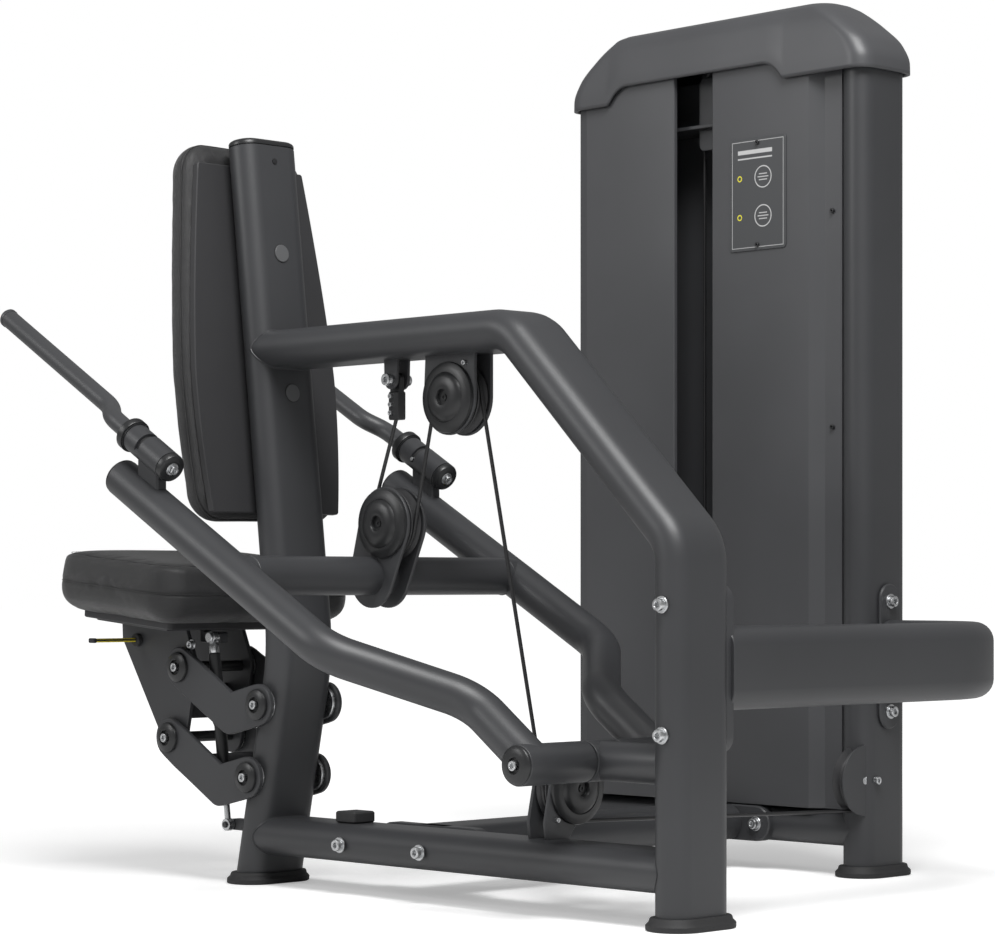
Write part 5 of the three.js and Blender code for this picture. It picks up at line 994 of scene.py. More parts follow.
# weight tower
class GYM_OT_tower(bpy.types.Operator):
    """Tower of two flat-oval columns with its base tube, head plates and shroud tabs"""
    bl_idname = "gym.tower"
    bl_label = "Tower frame"

    def execute(self, context):
        section = oval(*TUBE, 14)
        parts = [sweep([(TOWER_X, y, FOOT_TOP), (TOWER_X, y, 1340)], section, X, ends=1)
                 for y in (TOWER_FRONT_Y, TOWER_REAR_Y)]
        parts.append(sweep([(TOWER_X, TOWER_FRONT_Y, BASE_Z), (TOWER_X, TOWER_REAR_Y, BASE_Z)], section, X))
        front, rear = TOWER_FRONT_Y + TUBE[1] / 2 - 1, TOWER_REAR_Y - TUBE[1] / 2
        parts.append(plate(rect(TOWER_X - 36, TOWER_X + 36, front, rear + 1), "z", 1275, 1281, 0.6))
        px, _, pz = TOWER_PULLEY
        turn = np.linspace(-math.pi / 2, math.pi / 2, 33)
        half_disc = np.stack([pz + 58 * np.sin(turn), px + 58 * np.cos(turn)], 1)
        parts.append(plate(half_disc, "y", 645, 648, 0.6))
        for k, start, low in ((1, 255, 1238), (-1, front, 1275)):
            cheek = rounded(rect(start, rear + 1, low, 1364), 12, 5)
            parts.append(plate(cheek, "x", *sorted(TOWER_X + k * reach for reach in CHEEK), 0.8))
            middle = TOWER_X + k * 34
            for z in (230, 730, 1230):
                tab = rounded(rect(middle - 10, middle + 10, z - 15, z + 15), 3, 3)
                parts.append(plate(tab[:, ::-1], "y", 588.3, rear + 4, 0.6))
        for _, y, z in HEAD_PULLEYS:
            parts.append(peg(6, 40, (TOWER_X - 20, y, z), X, 24))
        build("tower_columns", parts, paint(), "frame", ["tower_frame"])
        heads = [bolt((TOWER_X + CHEEK[1], y, z), X, 0.7) for _, y, z in HEAD_PULLEYS]
        build("head_axle_bolts", heads, zinc(), "frame")
        return {"FINISHED"}


def sheet(points, radius):
    """A bent sheet seen from above: an open line with rounded bends, given the panels' thickness and height."""
    line = rounded(points, radius, 5, closed=False)
    step = unit(np.diff(line, axis=0))
    t = unit(np.concatenate([step[:1], step[:-1] + step[1:], step[-1:]]))
    normal = np.stack([-t[:, 1], t[:, 0]], 1)
    outline = np.concatenate([line, (line + normal * SHEET)[::-1]])
    return plate(outline, "z", PANEL_LOW, PANEL_HIGH, 0.5)


class GYM_OT_shrouds(bpy.types.Operator):
    """Bent sheet panels round the stack, with the slot for the pin, their screws and the plain placard"""
    bl_idname = "gym.shrouds"
    bl_label = "Shrouds and placard"

    def execute(self, context):
        skin = coated("satin sheet panel", tint("shroud"), 0.38, 1300.0, 0.22)
        near = TOWER_X + PANEL_OUT
        front = [(near - 4.2, 4), (near, 23.8), (near, 235), (near - 8, 235)]
        rear = [(near - 8, 322), (near, 322), (near, 538), (near - 14, 562), (near - 14, 598)]
        far = 2 * TOWER_X - np.array([near - 14, near - 14, near, near, near - 4.2])
        back = list(zip(far, (590, 562, 538, 23.8, 4)))
        screws = [bolt((near - 14, 579, z), X, 0.45, washer=False) for z in (1103, 744, 385)]
        build("panel_near_front", [sheet(front, 2.5)], skin, "frame", ["shroud_near_front"])
        build("panel_near_rear", [sheet(rear, 4)], skin, "frame", ["shroud_near_rear"])
        build("panel_screws", screws, dark(), "frame")
        build("panel_far", [sheet(back, 2.5)], skin, "frame", ["shroud_far"])
        self.placard(near)
        return {"FINISHED"}

    def placard(self, near):
        """Plate with rounded corners and a printed border, plain bars and rings."""
        y0, y1, z0, z1 = PLACARD
        o = rounded(rect(y0, y1, z0, z1), 6, 5)
        m, tree, shader, coords = new_material("placard print")
        border_print(tree, shader, coords)
        build("placard_plate", [plate(o, "x", near, near + 2, 0.5)], m, "frame", ["placard"])
        screws = [bolt((near + 1.2, (y0 + y1) / 2, z), X, 0.42, washer=False) for z in (z0 + 9, z1 - 9)]
        build("placard_screws", screws, dark(), "frame")


def border_print(tree, shader, coords):
    """A pale hairline frame, plain bars and rings on a dark plate, from distances to straight lines and points."""
    y0, y1, z0, z1 = (v * MM for v in PLACARD)
    split = add(tree, "SeparateXYZ", {"Vector": coords})
    y, z = split.outputs["Y"], split.outputs["Z"]
    line = 0.0009

    def band(value, middle, half, soft=0.0004):
        away = maths(tree, "ABSOLUTE", maths(tree, "SUBTRACT", value, middle))
        return ramp(tree, away, half + soft, half - soft)

    def bar(cy, cz, half_y, half_z):
        return maths(tree, "MULTIPLY", band(y, cy, half_y), band(z, cz, half_z))

    def ring(cy, cz, radius):
        spot = add(tree, "CombineXYZ", {"Y": y, "Z": z}).outputs["Vector"]
        gap = add(tree, "VectorMath", {0: spot, 1: (0, cy, cz)}, operation="DISTANCE")
        return band(gap.outputs["Value"], radius, line)
    my, mz = (y0 + y1) / 2, (z0 + z1) / 2
    hy, hz = (y1 - y0) / 2 - 0.005, (z1 - z0) / 2 - 0.005
    rows = (mz + 0.028, mz - 0.038)
    dots = maths(tree, "MAXIMUM", *(ring(my - 0.040, cz, 0.0042) for cz in rows))
    marks = [bar(my - 0.006, mz + dz, 0.038, half) for dz, half in ((0.072, 0.0035), (0.061, 0.0012))]
    for cz in rows:
        marks.append(ring(my + 0.012, cz, 0.018))
        for dz, half in ((0.005, 0.009), (0.0, 0.012), (-0.005, 0.009)):
            marks.append(bar(my + 0.012, cz + dz, half, 0.0008))
    mask = maths(tree, "SUBTRACT", bar(my, mz, hy, hz), bar(my, mz, hy - line, hz - line))
    for mark in marks:
        mask = maths(tree, "MAXIMUM", mask, mark)
    colour = blended(tree, mask, (0.05, 0.052, 0.055, 1), (0.5, 0.5, 0.5, 1))
    feed(tree, shader, {"Base Color": blended(tree, dots, colour, (0.75, 0.68, 0.03, 1)), "Roughness": 0.45})


class GYM_OT_tower_cap(bpy.types.Operator):
    """Moulded cap of the tower: rounded box that narrows upwards, with an arched lower edge on its long sides"""
    bl_idname = "gym.tower_cap"
    bl_label = "Tower cap"

    def execute(self, context):
        y0, y1, z0, z1 = -19.0, 663.0, 1332.0, 1454.0
        share = np.array([0, 0.14, 0.4, 0.68, 0.93, 1.0])
        ends, sides = np.array([0, 0.5, 14, 50, 90, 104.0]), np.array([0, 0, 2, 5, 14, 26.0])
        fine = np.concatenate([np.linspace(0, 0.9, 19), np.linspace(0.92, 1, 9)])
        long = smooth_curve(share, ends, fine)
        wide = smooth_curve(share, sides, fine)
        rows = []
        for f, e, s in zip(fine, long, wide):
            hx, r = 72 - s, 34.0
            a = np.linspace(0, math.pi / 2, 9)
            quarter = np.stack([np.cos(a), np.sin(a)], 1) * r
            ys = np.linspace(0, 1, 121)[1:-1]
            q = [(1, 1, quarter), (-1, 1, quarter[::-1] * (-1, 1)),
                 (-1, -1, -quarter), (1, -1, quarter[::-1] * (1, -1))]
            top_y, low_y = y1 - e - r, y0 + e + r
            ring = []
            for k, (sx, sy, pts) in enumerate(q):
                centre = np.array([TOWER_X + sx * (hx - r), top_y if sy > 0 else low_y])
                ring.append(centre + pts)
                if k == 1:
                    ring.append(np.stack([np.full(119, TOWER_X - hx), top_y + (low_y - top_y) * ys], 1))
                if k == 3:
                    ring.append(np.stack([np.full(119, TOWER_X + hx), low_y + (top_y - low_y) * ys], 1))
            ring = np.concatenate(ring)
            on_side = (np.abs(ring[:, 0] - TOWER_X) > hx - 12)
            reach = np.clip(np.minimum(ring[:, 1] - 82, 486 - ring[:, 1]) / 48, 0, 1)
            arch = 30 * (1 - (1 - reach) ** 2.4) * on_side
            low = z0 + arch
            rows.append(np.concatenate([ring, (low + (z1 - low) * f)[:, None]], 1))
        shell = coated("moulded cap", tuple(v * 1.05 for v in tint("shroud")), 0.34, 900.0, 0.25)
        skin = grid(np.stack(rows), (False, True))
        piece = build("cap_shell", [skin], shell, "frame", ["tower_cap"], angle=50)
        wall = piece.modifiers.new("wall", "SOLIDIFY")
        wall.thickness = 0.006
        wall.offset = -1
        return {"FINISHED"}


def smooth_curve(x, y, at):
    """Values at `at` on a curve through (x, y) that keeps rising: cubic pieces with limited slopes."""
    h, d = np.diff(x), np.diff(y) / np.diff(x)
    total = d[:-1] + d[1:]
    inner = 2 * d[:-1] * d[1:] / np.where(np.abs(total) < 1e-9, 1, total)
    m = np.concatenate([[d[0]], inner, [d[-1]]])
    i = np.clip(np.searchsorted(x, at, side="right") - 1, 0, len(h) - 1)
    t = (at - x[i]) / h[i]
    return ((1 + 2 * t) * (1 - t) ** 2 * y[i] + t * (1 - t) ** 2 * h[i] * m[i]
            + t * t * (3 - 2 * t) * y[i + 1] + t * t * (t - 1) * h[i] * m[i + 1])


class GYM_OT_stack(bpy.types.Operator):
    """Weight plates, stack head with its stem, guide rods with rubber buffers, and the selector pin"""
    bl_idname = "gym.stack"
    bl_label = "Weight stack"

    def execute(self, context):
        iron = coated("painted iron", (0.03, 0.03, 0.032), 0.42, 700.0, 0.3)
        x1 = TOWER_X + 50
        outline = rounded(rect(TOWER_X - 50, x1, 100.0, 400.0), 8, 5)

        def level(i):
            return PLATE_LOW + PLATE_PITCH * i
        for i in range(4):
            name = f"weight_plate_{4 - i}"
            body = "stack" if i == 3 else "frame"
            iron_plate = plate(outline, "z", level(i), level(i) + PLATE_H, 2)
            build(f"{name}_iron", [iron_plate], iron, body, [name])
            # A thin black disc on each plate's face where the pin hole is: painted shade of the hole.
            hole_shade_disc = turned([(0, 0), (4.8, 0), (6.5, 0.8), (0, 0.8)], (x1 - 0.6, STACK_Y, level(i) + 20), X, 24)
            build(f"{name}_eye", [hole_shade_disc], rubber(), body)
        head = [plate(outline, "z", level(4), level(4) + PLATE_H, 2)]
        head.append(turned([(0, 0), (12, 0), (12, 224), (9, 226), (0, 226)], (TOWER_X, STACK_Y, 140), Z, 32))
        head += [turned(rect(10.6, 16, 0, 6), (TOWER_X, STACK_Y + k * ROD_REACH, level(4) + 38), Z, 32)
                 for k in (1, -1)]
        build("stack_head_iron", head, iron, "stack", ["stack_head"])
        for name, k in (("guide_rod_front", -1), ("guide_rod_rear", 1)):
            y = STACK_Y + k * ROD_REACH
            rod = turned([(0, 0), (10, 0), (10, 1178), (9, 1180), (0, 1180)], (TOWER_X, y, 108.5), Z, 32)
            steel = metal("ground steel", (0.5, 0.5, 0.52), 120.0)
            build(f"{name}_steel", [rod], steel, "frame", [name])
            ring = turned([(10.2, 0.3), (15.5, 0.3), (17, 2), (17, 19), (15.5, 21.7), (10.2, 21.7)],
                          (TOWER_X, y, 108), Z, 32)
            build(f"{name}_buffer", [ring], rubber(), "frame")
        z = level(3) + 20
        shaft = peg(4.5, 58, (TOWER_X - 6, STACK_Y, z), X, 20)
        knob = turned([(0, 0), (8, 0), (9, 2), (8.2, 8), (8.6, 14), (11, 18), (11, 22), (9.5, 24), (0, 24)],
                      (x1 + CLEAR, STACK_Y, z), X, 32)
        build("pin_shaft", [shaft], zinc(), "selector_pin", ["selector_pin"])
        build("pin_knob", [knob], accent(), "selector_pin")
        return {"FINISHED"}


# cushions
UP = np.array([0, -math.sin(LEAN), math.cos(LEAN)])
OUT = np.array([0, -math.cos(LEAN), -math.sin(LEAN)])
SEAT_BACK = np.array([0, math.cos(SEAT_TILT), -math.sin(SEAT_TILT)])
SEAT_UP = np.array([0, math.sin(SEAT_TILT), math.cos(SEAT_TILT)])


def evened(loop, step):
    """A closed line resampled at an even spacing along its length."""
    full = np.concatenate([loop, loop[:1]])
    run = np.concatenate([[0], np.cumsum(np.linalg.norm(np.diff(full[:, :3], axis=0), axis=1))])
    at = np.linspace(0, run[-1], int(run[-1] / step) + 1)[:-1]
    return np.stack([np.interp(at, run, full[:, k]) for k in range(full.shape[1])], 1)


def pillow(outline, profile, crown, rings=16):
    """Closed cushion: rows of (inset, height) go round the outline from the underside up its band. Both ends close in
    to the middle, and a point of the top at share f of the way out stands crown * (1 - f^2) above the top's edge."""
    outline = evened(outline, 4)
    middle = (outline.max(0) + outline.min(0)) / 2
    share = np.linspace(0.03, 1, rings)[:, None, None]

    def closing(row, rise):
        o = middle + (inset(outline, row[0]) - middle)[None] * share
        return np.concatenate([o, row[1] + rise * (1 - share ** 2) + 0 * o[..., :1]], -1)
    band = np.stack([along(inset(outline, d), "z", w) for d, w in profile[1:-1]])
    return grid(np.concatenate([closing(profile[0], 0), band, closing(profile[-1], crown)[::-1]]))


def stuffed(name, to_world, form, material, body, node, cap, soft, voxel=0.005):
    """Cushion skin: the form is remeshed evenly, swelled by cloth pressure with a cap on each point's move, refined."""
    verts, faces = form
    piece = build(name, [(to_world(verts), faces)], material, body, [node], angle=70)
    remesh = piece.modifiers.new("voxels", "REMESH")
    remesh.mode = "VOXEL"
    remesh.voxel_size = voxel
    apply(piece)
    even = piece.modifiers.new("even", "SMOOTH")
    even.factor, even.iterations = 0.5, soft
    apply(piece)
    rest = points(piece)
    swell(piece)
    move = points(piece) - rest
    length = np.linalg.norm(move, axis=1, keepdims=True)
    put(piece, rest + move * np.minimum(1, cap * MM / np.maximum(length, 1e-9)))
    finer = piece.modifiers.new("finer", "SUBSURF")
    finer.levels = finer.render_levels = 1
    apply(piece)
    piece.data.polygons.foreach_set("use_smooth", [True] * len(piece.data.polygons))
    return piece


def put(piece, where):
    """Moves the piece's points to the given array."""
    piece.data.vertices.foreach_set("co", where.ravel())
    piece.data.update()


def sewn(piece, path, out, depth=1.4, reach=3.0):
    """A seam pulled into a cushion. The path moves along `out` on to the skin, evened over its neighbours, and each
    point of the skin sinks along its normal by depth * exp(-(distance / reach)^2)."""
    skin = points(piece) / MM
    near = skin[((path[:, None] - skin[None, ::3]) ** 2).sum(-1).argmin(1) * 3]
    lift = ((near - path) * out).sum(-1)
    lift = np.mean([np.roll(lift, k) for k in range(-5, 6)], 0)
    path = path + out * lift[:, None]
    normal = np.empty(len(skin) * 3)
    piece.data.vertices.foreach_get("normal", normal)
    rows = np.array_split(np.arange(len(skin)), 1 + len(skin) // 3000)
    gap = np.concatenate([((skin[r][:, None] - path[None]) ** 2).sum(-1).min(1) for r in rows])
    sink = depth * np.exp(-gap / reach ** 2)
    put(piece, (skin - normal.reshape(-1, 3) * sink[:, None]) * MM)
    return path


def stitches(path, out, pitch, radius=0.55):
    """Thread along a seam: one closed spindle per pitch, five rings whose radius is r * sqrt(1 - s^2) along it."""
    rows = evened(np.concatenate([path, out], 1), pitch)
    at, up = rows[:, :3], unit(rows[:, 3:])
    ahead = unit(np.roll(at, -1, 0) - np.roll(at, 1, 0))
    across = np.cross(ahead, up)
    s = np.array([-0.98, -0.7, 0, 0.7, 0.98])
    a = np.arange(6) * math.pi / 3
    ring = radius * np.sqrt(1 - s ** 2)[:, None]
    ring = ring + 0 * a[None]
    place_at = (at + up * radius * 0.6)[:, None, None] + ahead[:, None, None] * (s * pitch * 0.34)[None, :, None, None]
    rows = place_at + across[:, None, None] * (ring * np.cos(a))[None, ..., None]
    rows = rows + up[:, None, None] * (ring * np.sin(a))[None, ..., None]
    _, faces = grid(rows[0])
    return rows.reshape(-1, 3), [[i + k * 30 for i in f] for k in range(len(rows)) for f in faces]


def points(piece):
    """The piece's points as an array."""
    co = np.empty(len(piece.data.vertices) * 3)
    piece.data.vertices.foreach_get("co", co)
    return co.reshape(-1, 3)


def apply(piece):
    """Bakes the live modifiers into the mesh."""
    graph = bpy.context.evaluated_depsgraph_get()
    mesh = bpy.data.meshes.new_from_object(piece.evaluated_get(graph))
    piece.modifiers.clear()
    piece.data = mesh


def swell(piece, pressure=4.0):
    """Cloth with pressure and no weight, run for twenty frames and kept."""
    cloth = piece.modifiers.new("cloth", "CLOTH")
    cloth.settings.use_pressure = True
    cloth.settings.uniform_pressure_force = pressure
    cloth.settings.effector_weights.gravity = 0
    cloth.settings.tension_stiffness = 30
    cloth.settings.quality = 4
    scene = bpy.context.scene
    for f in range(1, 21):
        scene.frame_set(f)
    apply(piece)
    scene.frame_set(1)


class GYM_OT_backrest(bpy.types.Operator):
    """Back pad with its seam, its covered board and the two capped bolts through the column"""
    bl_idname = "gym.backrest"
    bl_label = "Backrest"

    def execute(self, context):
        skin = leather("black leatherette", tint("upholstery"))
        length = (BACK_HIGH - BACK_LOW) / math.cos(LEAN)
        low = np.array([0, column_y(BACK_LOW), BACK_LOW]) + OUT * FACE
        face = low + OUT * 12.3

        def half_at(s):
            below = 165 - 15 * ((0.38 - np.minimum(s, 0.38)) / 0.38) ** 2
            above = 165 - 37 * ((np.maximum(s, 0.38) - 0.38) / 0.62) ** 1.4
            return np.where(s < 0.38, below, above)
        tall, corner = length + 19, BACK_CORNER
        v = tall * (1 - np.cos(np.linspace(0, math.pi, 81))) / 2
        turn = np.minimum(np.minimum(v, tall - v), corner)
        h = half_at(v / tall) - 4 - corner + np.sqrt(corner ** 2 - (corner - turn) ** 2)
        outline = np.concatenate([np.stack([h, v], 1), np.stack([-h, v], 1)[::-1]])
        rim = [(17, 0.5), (10, 1.6), (4.6, 5), (1.2, 11), (0, 18), (0.2, 26), (1.6, 33), (5, 40), (11, 45), (24, 48)]

        def world(p):
            return face + p[:, :1] * X + (p[:, 1:2] + 4) * UP + p[:, 2:] * OUT
        pad = stuffed("back_cushion", world, pillow(outline, rim, 7), skin, "frame", "back_pad", 4.5, 8)
        loop = evened(outline, 4)
        away = unit(loop - inset(loop, 1))
        out = away[:, :1] * X + away[:, 1:] * UP
        line = sewn(pad, world(along(loop, "z", 13.0)), out)
        # The seam cord's darker leatherette is painted shade in the seam's groove.
        piping = build("back_seam", [bead(line - out * 0.4, 0.8, OUT, 6)], seam_shade_skin(), "frame")
        s = np.linspace(0, 1, 41)
        width = half_at(s) - 18
        right = np.stack([width, s * (length - 36) + 18], 1)
        outline = rounded(np.concatenate([right, right[::-1] * (-1, 1)]), 3, 1)
        rows = np.stack([low + o[:, :1] * X + o[:, 1:] * UP + d * OUT for o, d in (
            (inset(outline, 1.5), 0), (outline, 1.5), (outline, 11.8))])
        build("back_board_panel", [grid(rows)], board(), "frame", ["back_board"])
        plug = coated("grey plug", (0.1, 0.102, 0.105), 0.45, 700.0, 0.2)
        for name, z in zip(("upper", "lower"), BACK_BOLT_ZS):
            seat = np.array([0, column_y(z), z]) - OUT * FACE
            cap = turned([(0, 0), (14.2, 0), (14.2, 1.1), (13.6, 1.7), (0, 2)], seat, -OUT, 40)
            shank = peg(6, 70, seat, OUT, 24)
            build(f"back_bolt_cap_{name}", [cap, shank], plug, "frame", [f"back_bolt_{name}"])
            # A thin black disc just wider than the cap: painted shade in the gap round the cap.
            gap = peg(15.4, 0.25, seat, -OUT, 40)
            build(f"back_bolt_gap_{name}", [gap], rubber(), "frame")
        return {"FINISHED"}


def on_seat(back, up, x=0.0):
    """Point on the tilted seat: `back` along it from its middle and `up` from its top."""
    return np.array([x, *SEAT_MIDDLE]) + SEAT_BACK * back + SEAT_UP * up


class GYM_OT_seat(bpy.types.Operator):
    """Seat cushion with a stitched border seam, its board, mounting plate and carriage plates"""
    bl_idname = "gym.seat"
    bl_label = "Seat"

    def execute(self, context):
        skin = leather("black leatherette", tint("upholstery"))
        outline = rounded(rect(-SEAT_W / 2, SEAT_W / 2, -SEAT_L / 2, SEAT_L / 2), 52, 16)
        under = np.linspace(math.pi / 2, 0.12, 12)
        rim = [(1 + 50 * (1 - math.cos(a)) ** 1.25, -48 - (SEAT_H - 47) * math.sin(a) ** 0.85) for a in under]
        rim += [(1, -44), (2, -34), (3.4, -22), (4.8, -12), (6, -7), (9, -3.4), (14, -2)]

        def world(p):
            return on_seat(0, 0) + p[:, :1] * X + p[:, 1:2] * SEAT_BACK + p[:, 2:] * SEAT_UP
        pad = stuffed("seat_cushion", world, pillow(outline, rim, 10), skin, "seat", "seat_pad", 3.0, 2)
        self.seams(context, pad, evened(outline, 4), world)
        o = evened(inset(outline, 44), 6)
        rows = np.stack([world(along(q, "z", -SEAT_H - d)) for q, d in ((inset(o, 2), 14), (o, 12), (o, 0.5))])
        build("seat_board_panel", [grid(rows)], board(), "seat", ["seat_board"])
        self.carriage()
        return {"FINISHED"}

    def seams(self, context, pad, loop, world):
        """Seam round the middle of the band, and a stitched border seam on the top, each pulled into the skin."""
        away = unit(loop - inset(loop, 1))
        out = away[:, :1] * X + away[:, 1:] * SEAT_BACK
        middle = sewn(pad, world(along(inset(loop, 1), "z", -46.0)), out)
        inner = evened(inset(loop, 22), 4)
        rise = np.repeat(SEAT_UP[None], len(inner), 0)
        flat = world(along(inner, "z", 0.0))
        border = sewn(pad, flat, rise, 1.0, 2.6)
        # The cords' darker leatherette is painted shade in the seam grooves.
        cords = [bead(middle - out * 0.5, 0.9, SEAT_UP, 6), bead(border - rise * 0.7, 0.6, SEAT_BACK, 6)]
        build("seat_seam", cords, seam_shade_skin(), "seat")
        lift = ((border - flat) * rise).sum(-1)
        row = world(along(inset(inner, -4.5), "z", 0.0)) + rise * (lift[:, None] - 0.2)
        thread = coated("sewing thread", (0.05, 0.05, 0.052), 0.7, 2500.0, 0.4)
        sewing = stitches(row, rise, context.scene.gym_sizes.stitch_pitch / MM)
        build("seat_stitches", [sewing], thread, "seat")

    def carriage(self):
        """Mounting plate, two side plates, web and the spring's lug."""
        under = MOUNT_UNDER
        rows = rect(-140, 50, under + CLEAR, under + MOUNT + CLEAR)
        o = rounded([on_seat(b, u)[1:] for b, u in rows], 1.5, 2)
        parts = [plate(o, "x", -115, 115, 1)]
        f, r = on_seat(-138, under + 3), on_seat(32, under + 3)
        outline = hull([(f[1], f[2], 2), (f[1] + 4, f[2] - 34, 4), (r[1], r[2], 2),
                        (*CARRIAGE_PIVOTS[0], 29), (*CARRIAGE_PIVOTS[1], 29)], 32)
        parts += twins(outline, 55, 63, 1)
        x, y, z = SPRING_HIGH
        lug = rounded([(-129, 387), (-77, 387), (-77, 405), (-121, 405), (-122, 413), (-129, 413)], 4, 4)
        parts.append(plate(lug, "x", x - 24, x - 7, 1))
        parts.append(peg(5, 19, (x - 10, y, z), X, 24, soft=0.8))
        build("carriage_screw", [bolt((63, -118, 384), X, 0.72)], zinc(), "seat")
        cy, cz = CARRIAGE_PIVOTS[1]
        web = rect(-56, 56, cy - 14, cy - 6)
        parts.append(plate(web, "z", cz + 30, CARRIAGE_PIVOTS[0][1] - 30, 0.8))
        build("carriage_plates", parts, paint(), "seat", ["seat_carriage"])


class GYM_OT_linkage(bpy.types.Operator):
    """Boomerang links, capped pivots with washers, gas spring and release lever"""
    bl_idname = "gym.linkage"
    bl_label = "Seat linkage"

    def execute(self, context):
        for name, ends, share in (
                ("upper", (COLUMN_PIVOTS[0], CARRIAGE_PIVOTS[0]), 0.45),
                ("lower", (COLUMN_PIVOTS[1], CARRIAGE_PIVOTS[1]), 0.72)):
            a, b = np.array(ends)
            outline = self.boomerang(a, b, a + (b - a) * 0.36 - (0, 37))
            parts = twins(outline, 67, 76)
            spot = a + (b - a) * share - (0, 20)
            parts.append(peg(10, 138, (-69, *spot), X, 32))
            link = f"seat_link_{name}"
            build(f"link_{name}_plates", parts, paint(), link, [link])
        for name, spot, body, spacer in (
                ("pin_column_upper", COLUMN_PIVOTS[0], "frame", 6.1),
                ("pin_column_lower", COLUMN_PIVOTS[1], "frame", 6.1),
                ("pin_carriage_upper", CARRIAGE_PIVOTS[0], "seat", 3.4),
                ("pin_carriage_lower", CARRIAGE_PIVOTS[1], "seat", 3.4)):
            lid = turned([(0, 0), (25, 0), (25, 2.2), (24.2, 4.2), (21, 6.2), (16.5, 7.6), (13.4, 8), (12.4, 7.2),
                          (12.2, 2.4), (0, 2.4)], (76.3, *spot), X, 48)
            rod = peg(9, 153, (-76.5, *spot), X, 28)
            build(f"{name}_cap", [lid, mirrored(lid), rod], dark(), body, [name])
            washer = turned([(0, 0), (26, 0), (27, 1), (27, spacer - 1), (26, spacer), (0, spacer)],
                            (66.7 - spacer, *spot), X, 40)
            head = bolt((78.4, *spot), X, 0.82, washer=False)
            build(f"{name}_bolt", [head, mirrored(head), washer, mirrored(washer)], zinc(), body)
        self.spring()
        self.lever()
        return {"FINISHED"}

    def boomerang(self, a, b, m):
        """Outline of a bent link: a circle at each pivot and one at the elbow, joined by their tangents, then the
        two inner corners softened."""
        return union_outline(hull([(*a, 33), (*m, 33)], 48), hull([(*m, 33), (*b, 33)], 48), m)

    def spring(self):
        """Gas spring with its eyes, tube and rod."""
        low, high = np.array(SPRING_LOW), np.array(SPRING_HIGH)
        d = unit(high - low)
        end = np.linalg.norm(high - low) - 24
        sleeve = turned([(0, 0), (9, 0), (10, 1.2), (10, 186), (8.5, 188), (0, 188.4)], low + d * (end - 190), d, 40)
        eye = [(5.5, 0), (9.4, 0), (10, 0.8), (10, 11.2), (9.4, 12), (5.5, 12)]
        eyes = [turned(eye, p - X * 6, X, 32) for p in (low, high)]
        build("spring_tube", [sleeve], dark(), "spring_cylinder", ["spring_cylinder"])
        neck = turned([(0, 0), (7.5, 0), (8, 0.8), (8, 12), (6.8, 14), (6.4, 17), (0, 17)], low + d * (end - 2), d, 32)
        pin = turned([(0, 0), (5.2, 0), (8.6, 0.2), (8.6, 3.4), (7.6, 4.6), (0, 4.8)], high + X * 6, X, 32)
        build("spring_eye", [neck, eyes[1], pin], zinc(), "spring_cylinder")
        rod = peg(5, end - 70, low + d * 9, d, 28)
        build("spring_shaft", [rod, eyes[0]], zinc(), "spring_rod", ["spring_rod"])
    def lever(self):
        """Release lever: a thin yellow blade with a dark spine and tip, on a dark boss."""
        x, y, z = LEVER

        def slab(x0, x1, y0, y1, down, up, radius, edge):
            return plate(rounded(rect(x + x0, x + x1, y + y0, y + y1), radius, 4), "z", z - down, z + up, edge)
        blade = slab(6, 90, -11, 3, 3.2, 3.2, 4, 0.8)
        build("lever_blade", [blade], accent(), "release_lever", ["release_lever"])
        boss = turned([(0, 0), (11, 0), (11, 7.2), (10, 8), (0, 8)], (x, y, z), X, 32)
        stud = peg(5, 13, (x - 12, y, z), X, 20)
        core = [slab(5, 91, -12, 4, 1, 1.6, 4, 0.4), boss, stud, slab(88, 96, -12, 4, 4, 4, 3, 1.5)]
        build("lever_core", core, rubber(), "release_lever")


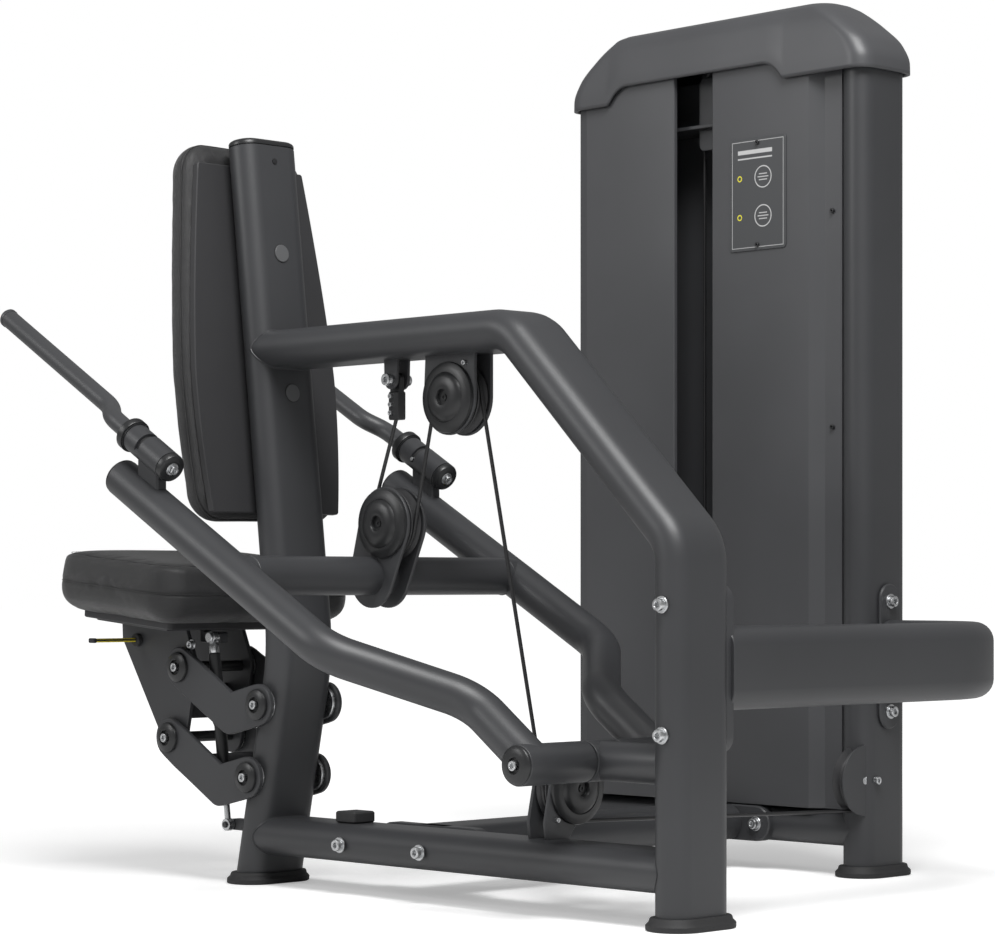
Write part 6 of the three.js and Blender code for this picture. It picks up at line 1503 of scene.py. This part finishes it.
# stage
class GYM_OT_stage(bpy.types.Operator):
    """Pale floor, soft lights and the camera"""
    bl_idname = "gym.stage"
    bl_label = "Stage"

    def execute(self, context):
        s = context.scene.gym_stage
        scene = context.scene
        scene.view_settings.view_transform = "Standard"
        cam = bpy.data.cameras.new("camera")
        cam.lens, cam.sensor_width, cam.sensor_fit = s.lens, 36, "HORIZONTAL"
        cam.shift_y = 0.1116
        cam.clip_end = 60
        camera = bpy.data.objects.new("camera", cam)
        camera.location = (3.091, 3.714, 0.485)
        camera.rotation_euler = (math.pi / 2, 0, math.radians(135.8))
        scene.collection.objects.link(camera)
        scene.camera = camera
        self.floor(scene)
        self.lights(scene, s)
        return {"FINISHED"}

    def floor(self, scene):
        """Flat floor, pale to the object. To the camera it also glows, the more the further a spot lies from the
        origin: it rises softly between the two distances, so that the far floor turns white."""
        a = np.linspace(-1, 1, 3)
        r = 40.0
        verts = [(x * r, y * r, -0.0005) for y in a for x in a]
        faces = [[i + j * 3, i + 1 + j * 3, i + 4 + j * 3, i + 3 + j * 3] for j in range(2) for i in range(2)]
        mesh = bpy.data.meshes.new("floor")
        mesh.from_pydata(verts, [], faces)
        floor = bpy.data.objects.new("floor", mesh)
        scene.collection.objects.link(floor)
        m, tree, shader, coords = new_material("pale floor")
        away = add(tree, "VectorMath", {0: coords}, operation="LENGTH").outputs["Value"]
        fade = ramp(tree, away, 0.9, 3.4, 0.34, 0.8, interpolation_type="SMOOTHSTEP")
        seen = add(tree, "LightPath", {}).outputs["Is Camera Ray"]
        feed(tree, shader, {
            "Base Color": (0.9, 0.9, 0.9, 1), "Roughness": 0.8, "Specular IOR Level": 0.0,
            "Emission Color": (1, 1, 1, 1), "Emission Strength": maths(tree, "MULTIPLY", seen, fade),
        })
        mesh.materials.append(m)

    def lights(self, scene, s):
        """Even room light with a white camera view, one large soft light above and one from the side."""
        world = bpy.data.worlds.new("room")
        world.use_nodes = True
        tree = world.node_tree
        background = feed(tree, tree.nodes["Background"], {"Color": (1, 1, 1, 1), "Strength": s.world})
        white = add(tree, "Background", {"Color": (1, 1, 1, 1), "Strength": 1.0})
        path = add(tree, "LightPath", {}).outputs
        seen = maths(tree, "MAXIMUM", path["Is Camera Ray"], path["Is Transmission Ray"])
        mix = add(tree, "MixShader", {"Fac": seen, 1: background.outputs["Background"], 2: white.outputs["Background"]})
        feed(tree, tree.nodes["World Output"], {"Surface": mix.outputs["Shader"]})
        scene.world = world
        for name, place_at, target, size, power in (
                ("key", (1.0, 2.2, 3.8), (-0.3, 0.4, 0.6), 2.0, s.key),
                ("fill", (3.6, -1.6, 2.6), (0, 0.2, 0.7), 1.6, s.fill)):
            data = bpy.data.lights.new(name, "AREA")
            data.size, data.energy = size, power
            lamp = bpy.data.objects.new(name, data)
            lamp.location = place_at
            d = unit(np.array(target) - np.array(place_at))
            lamp.rotation_euler = (math.acos(-d[2]), 0, math.atan2(-d[0], d[1]))
            scene.collection.objects.link(lamp)


OPERATORS = (
    GYM_OT_stage, GYM_OT_spine, GYM_OT_feet, GYM_OT_press_arm, GYM_OT_handles, GYM_OT_pulleys, GYM_OT_cable,
    GYM_OT_base, GYM_OT_tower, GYM_OT_shrouds, GYM_OT_tower_cap, GYM_OT_stack, GYM_OT_backrest, GYM_OT_seat,
    GYM_OT_linkage)


class GYM_PT_panel(bpy.types.Panel):
    """Lists the sizes, colours and pieces of the machine"""
    bl_idname = "GYM_PT_panel"
    bl_label = "Triceps machine"
    bl_space_type = "VIEW_3D"
    bl_region_type = "UI"
    bl_category = "Gym"

    def draw(self, context):
        layout = self.layout
        for group in (context.scene.gym_sizes, context.scene.gym_colours, context.scene.gym_stage):
            column = layout.column(align=True)
            for key in group.bl_rna.properties.keys():
                if key not in ("rna_type", "name"):
                    column.prop(group, key)
        for operator in OPERATORS:
            layout.operator(operator.bl_idname)


CLASSES = (GymSizes, GymColours, GymStage, *OPERATORS, GYM_PT_panel)


def register():
    """Registers the classes and hangs the settings on the scene."""
    for cls in CLASSES:
        bpy.utils.register_class(cls)
    bpy.types.Scene.gym_sizes = PointerProperty(type=GymSizes)
    bpy.types.Scene.gym_colours = PointerProperty(type=GymColours)
    bpy.types.Scene.gym_stage = PointerProperty(type=GymStage)


def unregister():
    """Takes the settings and classes away again."""
    del bpy.types.Scene.gym_sizes
    del bpy.types.Scene.gym_colours
    del bpy.types.Scene.gym_stage
    for cls in reversed(CLASSES):
        bpy.utils.unregister_class(cls)


def main():
    """Builds the machine piece by piece."""
    register()
    for operator in OPERATORS:
        group, name = operator.bl_idname.split(".")
        getattr(getattr(bpy.ops, group), name)()


if __name__ == "__main__":
    main()
